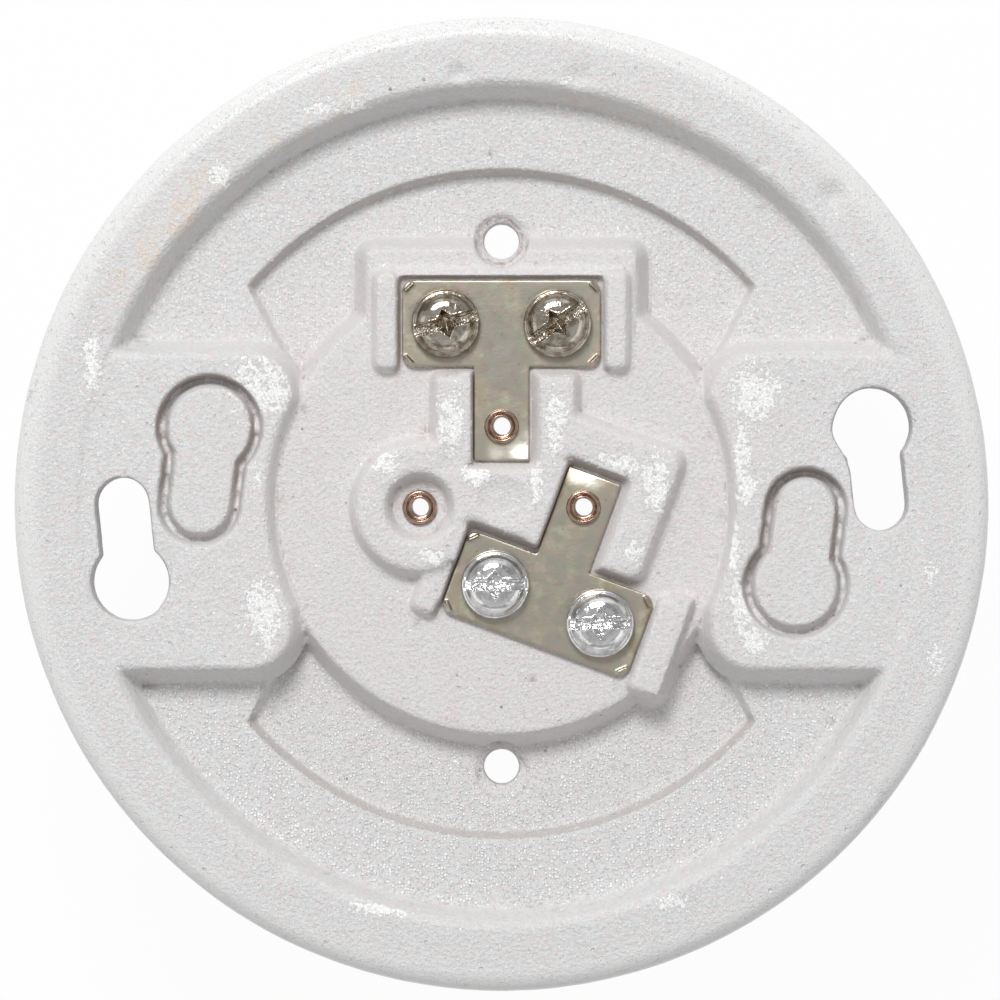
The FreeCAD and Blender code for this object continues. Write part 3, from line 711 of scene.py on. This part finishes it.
def crevices(piece, points, normals):
    """How far each point lies below the mean of its neighbours, in millimetres."""
    pairs = np.empty(len(piece.data.edges) * 2, np.int64)
    piece.data.edges.foreach_get("vertices", pairs)
    first, second = pairs.reshape(-1, 2).T
    total, count = np.zeros_like(points), np.zeros(len(points))
    for a, b in ((first, second), (second, first)):
        for axis in range(3):
            total[:, axis] += np.bincount(a, points[b, axis], len(points))
        count += np.bincount(a, minlength=len(points))
    return np.einsum("ij,ij->i", total / count[:, None] - points, normals)


def terminal_place(points, which):
    """Each point's u and v about a terminal's eyelet."""
    origin = terminal_point(which, 0.0, 0.0)
    right, up = (np.array(terminal_point(which, *unit)) - origin for unit in ((1.0, 0.0), (0.0, 1.0)))
    flat = points[:, :2] - origin
    return flat @ right, flat @ up


def plate_distance(points, which):
    """Distance of each point from a terminal plate's outline, seen from above."""
    u, v = terminal_place(points, which)
    stem = np.hypot(np.maximum(np.abs(u) - STEM_HALF_WIDTH, 0),
                    np.maximum(np.abs(v - STEM_MIDDLE) - STEM_HALF_LENGTH, 0))
    bar = np.hypot(np.maximum(np.abs(u) - BAR_HALF_WIDTH, 0),
                   np.maximum(np.abs(v - SCREW_ROW) - BAR_HALF_DEPTH, 0))
    return np.minimum(stem, bar)


def glaze_cover(radius, z, front):
    """Full glaze on the rim's outer edge, the front and the collar."""
    cover = smooth_step(radius, *RIM_GLAZE)
    cover = np.maximum(cover, np.where(z < front + FRONT_SKIN, 1.0, 0.0))
    return np.maximum(cover, np.where((z < -17) & (radius > 16.0), 1.0, 0.0))


def glaze_runs_and_lip_highlight(points, normals, hollow, wiring):
    """Runs of glaze on the wiring side, and white flakes painted as a highlight on the raised lip edges
    turned towards the light at the top edge.
    """
    x, y, z = points.T
    patches = np.zeros(len(points))
    for cx, cy, rx, ry in GLAZE_PATCHES:
        away = np.hypot((x - cx) / rx, (y - cy) / ry)
        patches = np.maximum(patches, falling_step(away, 0.2, 1.35))
    patches *= smooth_step(normals[:, 2], 0.35, 0.8) * smooth_step(z, -3.4, -2.6)
    # Painted highlight: convex lip edges turned towards the light get white flakes as if glazed
    lit_lip_highlight = smooth_step(-hollow, 0.03, 0.10) * smooth_step(normals[:, 1], 0.05, 0.5)
    lit_lip_highlight *= smooth_step(z, -3.6, -2.8)
    return np.maximum(patches, 0.75 * lit_lip_highlight * np.where(wiring, 1, 0))


def rim_stains(x, y, radius):
    """Tan stains on the rim at the upper left, and a weaker one near the top."""
    angle = np.degrees(np.arctan2(y, x))
    stain = smooth_step(radius, 47.5, 49.5) * smooth_step(angle, 100, 112) * falling_step(angle, 146, 160)
    stain *= falling_step(radius, 51.5, 54)
    return np.maximum(stain, 0.6 * smooth_step(radius, 46, 48) * falling_step(radius, 50, 52)
                      * smooth_step(-np.abs(angle - 74), -14, -6))


def shade(points, normals, hollow, front):
    """Shade in crevices, on the walls beside the plates, in the panels' grooves and on the well's step."""
    x, y, z = points.T
    deep = smooth_step(hollow, 0.02, 0.09) * smooth_step(-z, 0.7, 1.3)
    deep *= np.where(z > front + FRONT_SKIN, 1, 0)
    away = np.minimum(*(plate_distance(points, which) for which in ("live", "neutral")))
    shaded = smooth_step(-away, -1.5, -0.7) * falling_step(normals[:, 2], 0.55, 0.85)
    shaded *= smooth_step(z, -9, -8)
    away_from_light = falling_step(normals[:, 1] - 0.45 * normals[:, 0], -0.45, 0.3)
    deep = np.maximum(deep, 0.8 * shaded * away_from_light)
    # The groove round each panel, and the step down into the well
    side = np.sign(x)
    groove = (np.abs(x - PANEL_X * side) < 6.6) & (np.abs(y + PANEL_Y * side) < 10.6)
    groove &= (z < -0.75) & (z > -4.6)
    lower = smooth_step(-y - PANEL_Y * side, 2.0, 5.0)
    wall = (0.95 - 0.6 * lower) * away_from_light * falling_step(normals[:, 2], 0.5, 0.9)
    deep = np.where(groove, wall, deep)
    radius = np.hypot(x, y)
    step = smooth_step(-np.abs(radius - WELL_R - 0.4), -1.0, -0.4) * falling_step(normals[:, 2], 0.6, 0.92)
    step *= smooth_step(z, -7.4, -7.0) * falling_step(z, -5.2, -4.8)
    return np.maximum(deep, 0.5 * step)


def mark_porcelain(piece):
    """Stores how much glaze, lip highlight, grit with painted glints, stain and painted shade each point of
    the porcelain has.
    """
    points, normals = points_of(piece), normals_of(piece)
    x, y, z = points.T
    radius = np.hypot(x, y)
    front = -(FLANGE_HEIGHT + CONE_DROP * (RIM_R - radius) / (RIM_R - COLLAR_ROOT_R))
    wiring = (z > front + FRONT_SKIN) & (radius < RIM_INNER_R)
    hollow = crevices(piece, points, normals)
    low = wiring & (z < GUTTER_Z + 0.6)
    # Where white grit and painted glints go: low floors facing up, more towards -Y
    grit_with_painted_glints = np.where(low, 0.55 + 0.45 * smooth_step(-y, -10, 40), 0.35) * smooth_step(normals[:, 2], 0.2, 0.8)
    for name, values in (("cover", glaze_cover(radius, z, front)),
                         ("glaze_and_lip_highlight", glaze_runs_and_lip_highlight(points, normals, hollow, wiring)),
                         ("grit_with_painted_glints", grit_with_painted_glints), ("stain", rim_stains(x, y, radius)),
                         ("painted_shade_and_grime", shade(points, normals, hollow, front)),
                         ("level", 0.3 + 0.7 * smooth_step(normals[:, 2], 0.6, 0.95)),
                         ("blush", falling_step(radius, 30, 39))):
        store(piece, name, values)


# Where the pressed walls stand closer to the plates: terminal, u and v ranges, top and foot in millimetres
CLOSE_WALLS = (
    ("live", -4.7, -3.45, -4.3, 6.5, -0.35, -3.2), ("neutral", 3.45, 4.7, -4.3, 6.2, -0.35, -3.2),
    ("neutral", 11.87, 13.1, 6.9, 11.2, -0.35, -3.2), ("neutral", 11.87, 13.1, 11.0, 16.2, -1.2, -3.2),
    ("neutral", -16.0, -13.8, 5.6, 17.9, -1.2, -7.4))

# Walls of the boss nearer to the live stem, and the right panel lower: ranges of x and y, lowest z, and shift
DRAWN_IN = ((-10.3, -7.4, 5.0, 17.0, -3.6, 1.25, 0.0), (7.9, 10.2, 9.5, 17.0, -3.6, -0.35, 0.0),
            (28.0, 40.6, -16.6, 5.8, -4.4, 0.25, -0.6))


def add_close_walls(piece):
    """Adds blocks that the even skin joins with the body, with walls that lean a little."""
    points = points_of(piece)
    x, y, z = points.T
    for x0, x1, y0, y1, foot, *shift in DRAWN_IN:
        points[(x > x0) & (x < x1) & (y > y0) & (y < y1) & (z > foot), :2] += shift
    move_points(piece, points)
    work = bmesh.new()
    work.from_mesh(piece.data)
    for which, u0, u1, v0, v1, top, foot in CLOSE_WALLS:
        run = 0.06 * (top - foot)
        rings = []
        for z, grow in ((foot, run), (top - 0.25, 0.0), (top, -0.25)):
            left, right, near, far = u0 - grow, u1 + grow, v0 - grow, v1 + grow
            corners = ((left, near), (right, near), (right, far), (left, far))
            rings.append([work.verts.new((*terminal_point(which, u, v), z)) for u, v in corners])
        for low, high in zip(rings, rings[1:]):
            for k in range(4):
                work.faces.new((low[k], low[(k + 1) % 4], high[(k + 1) % 4], high[k]))
        work.faces.new(rings[0][::-1])
        work.faces.new(rings[-1])
    work.to_mesh(piece.data)
    work.free()


def dress_porcelain():
    piece = merged_copy("porcelain_body", "porcelain_casting")
    add_close_walls(piece)
    remesh(piece, PORCELAIN_VOXEL)
    make_round(piece)
    add_tree(piece, UNEVENNESS, swell=0.07, swell_size=7.0, ripple=0.045, ripple_size=1.3, seed=3.0,
             finish=PORCELAIN)
    soften(piece, 4)
    made_plain(piece)
    press_dents(piece)
    thin_out(piece, PORCELAIN_TRIANGLES)
    mark_porcelain(piece)
    finish(piece, "holder", "porcelain", PORCELAIN, "porcelain_body")


dress_porcelain()


# Metal pieces

def mark_edges(piece, reach):
    """Stores how near each point lies to an edge of a flat piece, within the reach."""
    points, normals = points_of(piece), normals_of(piece)
    edges = np.nonzero(np.abs(normals[:, 2]) < 0.7)[0]
    tree = kdtree.KDTree(len(edges))
    for n in edges:
        tree.insert(points[n], int(n))
    tree.balance()
    away = np.array([tree.find(point)[2] for point in points])
    store(piece, "edge", np.exp(-away / reach))


# Corner ridges of a plate: distance from the stem's line, middle and half spacing along it
NIB_U, NIB_V, NIB_SPREAD = 10.56, SCREW_ROW, 3.985
CORNERS = ((-1, -1), (-1, 1), (1, -1), (1, 1))

# Space left under a screw head that bears on its plate
SEAT_GAP = 0.02


def nib_point(which, side, end, grow):
    """Place of a plate's corner ridge, moved outwards by grow."""
    return np.array(terminal_point(which, side * (NIB_U + grow), NIB_V + end * (NIB_SPREAD + grow)))


def shrink_nibs(piece, which):
    """Draws each corner ridge of a plate in to a small fold near its corner."""
    points = points_of(piece)
    top = points[:, 2].max() - 0.5
    for side, end in CORNERS:
        centre, corner = (nib_point(which, side, end, grow) for grow in (0.0, 1.0))
        out = (corner - centre) / np.hypot(*(corner - centre))
        along = np.array((-out[1], out[0]))
        flat = points[:, :2] - centre
        a, b = flat @ along, flat @ out
        nib = (np.abs(a) < 1.15) & (np.abs(b) < 0.4) & (points[:, 2] > top - 0.01)
        a, b = 0.6 * a, 0.8 * b + 0.4
        points[nib, :2] = (centre + a[:, None] * along + b[:, None] * out)[nib]
        points[nib, 2] = top + 0.6 * (points[nib, 2] - top)
    move_points(piece, points)


def flatten_seats(piece, which):
    """Keeps a plate flat where the screw heads bear on it."""
    points = points_of(piece)
    seat = SCREW_SEAT_Z - SCREW_BACK_OUT
    for along in (-SCREW_SPACING / 2, SCREW_SPACING / 2):
        x, y = terminal_point(which, along, SCREW_ROW)
        under = away_from(points, x, y) < HEAD_R + 0.15
        points[under, 2] = np.minimum(points[under, 2], seat - SEAT_GAP)
    move_points(piece, points)


def mark_nibs(piece, which):
    """Darkens a plate towards brown about its corner folds."""
    points = points_of(piece)
    edge = np.empty(len(points), np.float32)
    piece.data.attributes["edge"].data.foreach_get("value", edge)
    edge = np.maximum(edge, 0.0 if which == "live" else 0.4)
    for side, end in CORNERS:
        x, y = nib_point(which, side, end, 0.4)
        edge = np.maximum(edge, 1.8 * np.exp(-((away_from(points, x, y) / 0.8) ** 2)))
    store(piece, "edge", edge)


# Where painted highlights lie on the plates: terminal, u, v and radius in millimetres
PAINTED_HIGHLIGHTS = (("live", 2.3, -2.7, 1.3), ("live", 3.0, -1.3, 0.8), ("live", -0.6, -3.3, 0.9),
          ("neutral", 1.8, -3.2, 0.9), ("neutral", 0.2, -3.2, 0.8))


def mark_highlights_and_bend(piece, part):
    """Stores a painted highlight on each point of a plate, and how far riveting lifted it."""
    points = points_of(piece)
    painted_highlight = np.zeros(len(points))
    bend = np.zeros(len(points))
    if part in TERMINALS:
        u, v = terminal_place(points, part)
        if part == "live":
            bend = 0.36 * smooth_step(-v, 1.7, 4.4) * smooth_step(u, -0.6, 3.2)
        else:
            bend = -0.3 * smooth_step(-v, 1.9, 4.3) * smooth_step(u, -2.2, 2.6)
    for which, u, v, radius in PAINTED_HIGHLIGHTS:
        x, y = terminal_point(which, u, v)
        away = away_from(points, x, y) / radius
        painted_highlight = np.maximum(painted_highlight, 0.8 * np.exp(-(away ** 2)))
    store(piece, "painted_highlight", painted_highlight)
    store(piece, "bend", bend)


def dress_metal(node, slot, metal, voxel, rounds, swell, triangles, reach):
    """A flat metal piece with soft edges and a skin that isn't ruled; reach is how far its worn edges go."""
    piece = merged_copy(node, node + "_metal")
    which = node.split("_")[0]
    if which in TERMINALS:
        shrink_nibs(piece, which)
    remesh(piece, voxel * (1))
    add_tree(piece, UNEVENNESS, swell=swell, swell_size=4.0, ripple=swell / 3, ripple_size=1.0,
             seed=float(len(node)), finish=metal)
    soften(piece, rounds)
    made_plain(piece)
    thin_out(piece, triangles)
    if which in TERMINALS:
        flatten_seats(piece, which)
    mark_edges(piece, reach)
    mark_highlights_and_bend(piece, which)
    if which in TERMINALS:
        mark_nibs(piece, which)
    finish(piece, "holder", slot, metal, node)


# Screws: sizes in millimetres, and turn of the slot in degrees
HEAD_HEIGHT = 2.3
SHANK_R = 2.0
SHANK_LENGTH = 6.5
SHANK_PITCH = 0.794
SLOT_HALF_WIDTH = 0.68
SLOT_FLOOR = 0.72
SLOT_TURNS = {"live_left": 16.0, "live_right": 34.0, "neutral_left": 1.0, "neutral_right": 2.0}
DOME = ((0.0, 2.3), (1.2, 2.285), (2.0, 2.22), (2.5, 2.1), (2.85, 1.9), (3.15, 1.58), (3.4, 1.12), (3.5, 0.9),
        (3.57, 0.84), (3.72, 0.85), (3.9, 0.72), (4.0, 0.45))


def rough_height(x, y, size, seed):
    """Noise between -1 and 1, one value for each point."""
    return np.array([noise.noise(Vector((u / size + seed, v / size, seed))) for u, v in zip(x, y)])


def head_height(x, y, turn, seed, wear, used):
    """Height of a used screw's head: a worn dome with a burred slot and a cross."""
    radius = np.hypot(x, y)
    dome = np.interp(radius, *np.array(DOME).T)
    broad, fine = rough_height(x, y, 0.9, seed), rough_height(x, y, 0.22, seed + 5)
    dome = dome + wear * (0.05 * broad + 0.012 * fine) * smooth_step(3.9 - radius, 0, 0.4)
    angle = math.radians(turn)
    u, v = x * math.cos(angle) + y * math.sin(angle), y * math.cos(angle) - x * math.sin(angle)
    v = v + 0.05 * broad
    half = SLOT_HALF_WIDTH + 0.06 * broad
    burr = np.exp(-((np.abs(v) - half) / 0.08) ** 2) * (0.5 + fine) * (0.15 if used else 0.2)
    floor = SLOT_FLOOR + 0.45 * smooth_step(-radius, -3.6, -1.2) + 0.05 * fine
    if used:
        floor += 0.06 * np.sin(u * 17 + 3 * broad) + 0.05 * np.sin(v * 11 + 4 * broad)
    else:
        floor += 0.18 + 0.05 * np.sin(v * 15 + 5 * broad)
    wall = smooth_step(np.abs(v) - half, -0.10, 0.0)
    top = np.minimum(dome + burr, floor * (1 - wall) + (dome + burr) * wall)
    star = (np.abs(u) ** 0.8 + np.abs(v) ** 0.8) ** 1.25
    if used:
        well = 0.45 + 0.3 * star + 1.75 * smooth_step(star, 0.9, 2.3) + 0.04 * broad
    else:
        well = 1.35 + 0.12 * star + 0.9 * smooth_step(star, 1.2, 2.2) + 0.1 * broad + 0.05 * fine
    lip = np.exp(-((star - 1.95) / 0.12) ** 2) * 0.05 * (1 + fine)
    return np.minimum(top + lip, well)


def dress_screw(which, side):
    """A terminal screw: used head, bearing face, and a shank with a rolled thread."""
    node = "%s_screw_%s" % (which, side)
    body = "%s_%s" % (which, side)
    seed = 10.0 * sorted(SLOT_TURNS).index(body) + 3.7
    step = 0.058
    head = [(0.0, HEAD_HEIGHT)] + [(r, 1.0) for r in np.arange(step, HEAD_R, step)]
    rest = rounded_line([(HEAD_R, 0.45), (HEAD_R, 0, 0.12), (SHANK_R, 0), (SHANK_R, -SHANK_LENGTH, 0.3),
                         (0.3, -SHANK_LENGTH)], 0.1)
    line = head + [tuple(point) for point in rest] + [(0.0, -SHANK_LENGTH)]
    piece = turned(node + "_metal", line, 240)
    points = points_of(piece)
    radius = np.hypot(points[:, 0], points[:, 1])
    top = (points[:, 2] > 0.9) & (radius < HEAD_R - 1e-6)
    wear = 1.0 if which == "live" else 0.8
    points[top, 2] = head_height(points[top, 0], points[top, 1], SLOT_TURNS[body], seed, wear,
                                 which == "live")
    move_points(piece, points)
    metal = LIVE_NICKEL if which == "live" else NEUTRAL_ZINC
    add_tree(piece, THREAD, pitch=SHANK_PITCH, depth=0.4, flank=0.5, flat=0.5, to=-0.35, inner=1.0,
             outer=SHANK_R + 0.1, run_out=0.5, finish=metal, **{"from": -SHANK_LENGTH + 0.1})
    soften(piece, 1, 0.4)
    made_plain(piece)
    along = SCREW_SPACING / 2 if body in ("live_right", "neutral_left") else -SCREW_SPACING / 2
    x, y = terminal_point(which, along, SCREW_ROW)
    piece.data.transform(Matrix.Translation((x, y, SCREW_SEAT_Z)))
    thin_out(piece, SCREW_TRIANGLES)
    mark_edges(piece, 0.5)
    finish(piece, body, which + "_screw_metal", metal, node)


def node_box(node):
    """Lowest and highest corner of a CAD node in millimetres."""
    points = np.array([corner for corner in NODES[node].bound_box]) / MM
    return points.min(0), points.max(0)


def dress_eyelet(node):
    """A tube rivet: a head rolled out over the plate, and a flared foot."""
    low, high = node_box(node)
    x, y = (low[:2] + high[:2]) / 2
    top, foot = high[2], low[2]
    line = rounded_line([(1.07, foot), (1.07, top - 0.2, 0.1), (1.34, top - 0.1, 0.08),
                         (1.47, top - 0.42, 0.05), (1.6, top, 0.1), (1.95, top, 0.2),
                         (2.05, top - 0.65, 0.05), (1.5, top - 0.65), (1.5, foot + 0.5), (2.05, foot + 0.5),
                         (1.95, foot + 0.2, 0.1), (1.1, foot)], 0.05)
    piece = turned(node + "_metal", [tuple(point) for point in line], 120)
    # The bore is split and bent a little to one side further down
    points = points_of(piece)
    bore = (away_from(points, 0, 0) < 1.2) * falling_step(points[:, 2], top - 3.5, top - 0.8)
    points[:, 0] += 0.16 * bore
    points[:, 1] += 0.1 * bore
    move_points(piece, points)
    add_tree(piece, UNEVENNESS, swell=0.02, swell_size=1.5, ripple=0.012, ripple_size=0.35,
             seed=float(len(node)), finish=COPPER)
    made_plain(piece)
    piece.data.transform(Matrix.Translation((x, y, 0)))
    thin_out(piece, EYELET_TRIANGLES)
    mark_edges(piece, 0.25)
    finish(piece, "holder", "eyelet_copper", COPPER, node)


# Lamp shell: thread sizes in millimetres
SHELL_PITCH = 3.629
SHELL_DEPTH = 0.8
SHELL_LIP_Z = -38.474
SHELL_FOOT_Z = -16.7


def dress_shell():
    """The rolled lamp shell, its rings turned into a thread that climbs."""
    piece = merged_copy("screw_shell", "screw_shell_metal")
    remesh(piece, SHELL_VOXEL)
    add_tree(piece, THREAD, pitch=SHELL_PITCH, depth=SHELL_DEPTH, flank=0.34, flat=0.5, to=SHELL_FOOT_Z,
             inner=12.0, outer=14.0, run_out=1.8, rings=1.0, finish=ALUMINIUM, **{"from": SHELL_LIP_Z})
    soften(piece, 4)
    made_plain(piece)
    thin_out(piece, SHELL_TRIANGLES)
    mark_edges(piece, 0.5)
    finish(piece, "holder", "shell_metal", ALUMINIUM, "screw_shell")


for which in ("live", "neutral"):
    dress_metal(which + "_terminal_plate", "plate_metal", PLATE_NICKEL, PLATE_VOXEL, 6, 0.03,
                PLATE_TRIANGLES, 1.3)
    for side in ("left", "right"):
        dress_screw(which, side)
for node in ("live_eyelet", "neutral_eyelet", "lone_eyelet"):
    dress_eyelet(node)
dress_shell()
dress_metal("centre_contact", "contact_brass", BRASS, CONTACT_VOXEL, 3, 0.01, CONTACT_TRIANGLES, 0.5)


# Floor and light: side and gap under the collar in metres
FLOOR_SIZE = 3.0
FLOOR_GAP = 0.0002


def white_for_eye(w, other, light, share=1.0):
    """Mixes plain light in where a ray comes from the eye, a reflection or clear glass."""
    path = w.node("ShaderNodeLightPath").outputs
    seen = w.math("MAXIMUM", path["Is Camera Ray"], path["Is Glossy Ray"])
    seen = w.math("MAXIMUM", seen, path["Is Transmission Ray"])
    seen = w.times(seen, share)
    return w.node("ShaderNodeMixShader", None, i0=seen, i1=other, i2=light).outputs[0]


def lay_floor():
    """A pale floor under the collar, seen as near white with the shadow kept in it."""
    work = bmesh.new()
    bmesh.ops.create_grid(work, x_segments=1, y_segments=1, size=FLOOR_SIZE)
    mesh = bpy.data.meshes.new("floor")
    work.to_mesh(mesh)
    work.free()
    mesh.transform(Matrix.Translation((0, 0, -DEPTH * MM - FLOOR_GAP)))
    floor = new_piece("floor", mesh)
    material = bpy.data.materials.new("pale_floor")
    material.use_nodes = True
    w = Wiring(material.node_tree)
    w.tree.nodes.remove(w.tree.nodes["Principled BSDF"])
    paint = w.node("ShaderNodeBsdfDiffuse", None, Color=rgb(0.82, 0.82, 0.82)).outputs[0]
    glow = w.node("ShaderNodeEmission", None, Color=rgb(1, 1, 1), Strength=1.0).outputs[0]
    w.join(w.tree.nodes["Material Output"], "Surface", white_for_eye(w, paint, glow, 0.96))
    mesh.materials.append(material)


# The soft box: height above the horizon and turn from +Y in degrees, distance and side in metres, watts
KEY = (56.0, 14.0, 1.1, 0.34, 8.4)

# Strength of the sky, how dark it is overhead in a mirror, and how dark the card and the dusk make it
SKY_STRENGTH = 0.475
OVERHEAD_TONE = 0.42
CARD_SHARE = 0.62


def light_scene():
    """A soft box high above the image's top edge, and an even sky."""
    world = bpy.data.worlds.new("studio")
    bpy.context.scene.world = world
    world.use_nodes = True
    w = Wiring(world.node_tree)
    plain = w.tree.nodes["Background"]
    plain.inputs["Color"].default_value = rgb(1, 1, 1)
    plain.inputs["Strength"].default_value = SKY_STRENGTH
    way = w.node("ShaderNodeTexCoord").outputs["Generated"]
    away = w.node("ShaderNodeSeparateXYZ", None, Vector=way).outputs
    tone = w.ramp(away["Z"], 0.45, 0.98, 1.0, OVERHEAD_TONE)
    # Metal mirrors a dark card above the top edge, and the dark side of the room below
    card = w.times(w.ramp(away["Y"], 0.12, 0.38), w.ramp(away["Y"], 0.72, 0.88, 1.0, 0.0))
    dusk = w.times(w.ramp(away["Y"], -0.66, -0.80), w.ramp(away["Y"], -0.97, -0.90))
    darkened = w.times(w.math("MAXIMUM", card, dusk), CARD_SHARE)
    tone = w.times(tone, w.math("SUBTRACT", 1.0, darkened))
    grey = w.node("ShaderNodeCombineColor", None, Red=tone, Green=tone, Blue=tone).outputs[0]
    seen = w.node("ShaderNodeBackground", None, Color=grey, Strength=1.0)
    w.join(w.tree.nodes["World Output"], "Surface", white_for_eye(w, plain.outputs[0], seen.outputs[0]))
    height, turn, distance, size, power = KEY
    height, turn = math.radians(height), math.radians(turn)
    lamp = bpy.data.lights.new("key", "AREA")
    lamp.shape = "SQUARE"
    lamp.size = size
    lamp.energy = power
    light = bpy.data.objects.new("key", lamp)
    flat = distance * math.cos(height)
    light.location = (-flat * math.sin(turn), flat * math.cos(turn), distance * math.sin(height))
    light.rotation_euler = (-light.location).to_track_quat("-Z", "Y").to_euler()
    bpy.context.scene.collection.objects.link(light)


lay_floor()
light_scene()
bpy.context.scene.view_settings.view_transform = "Standard"
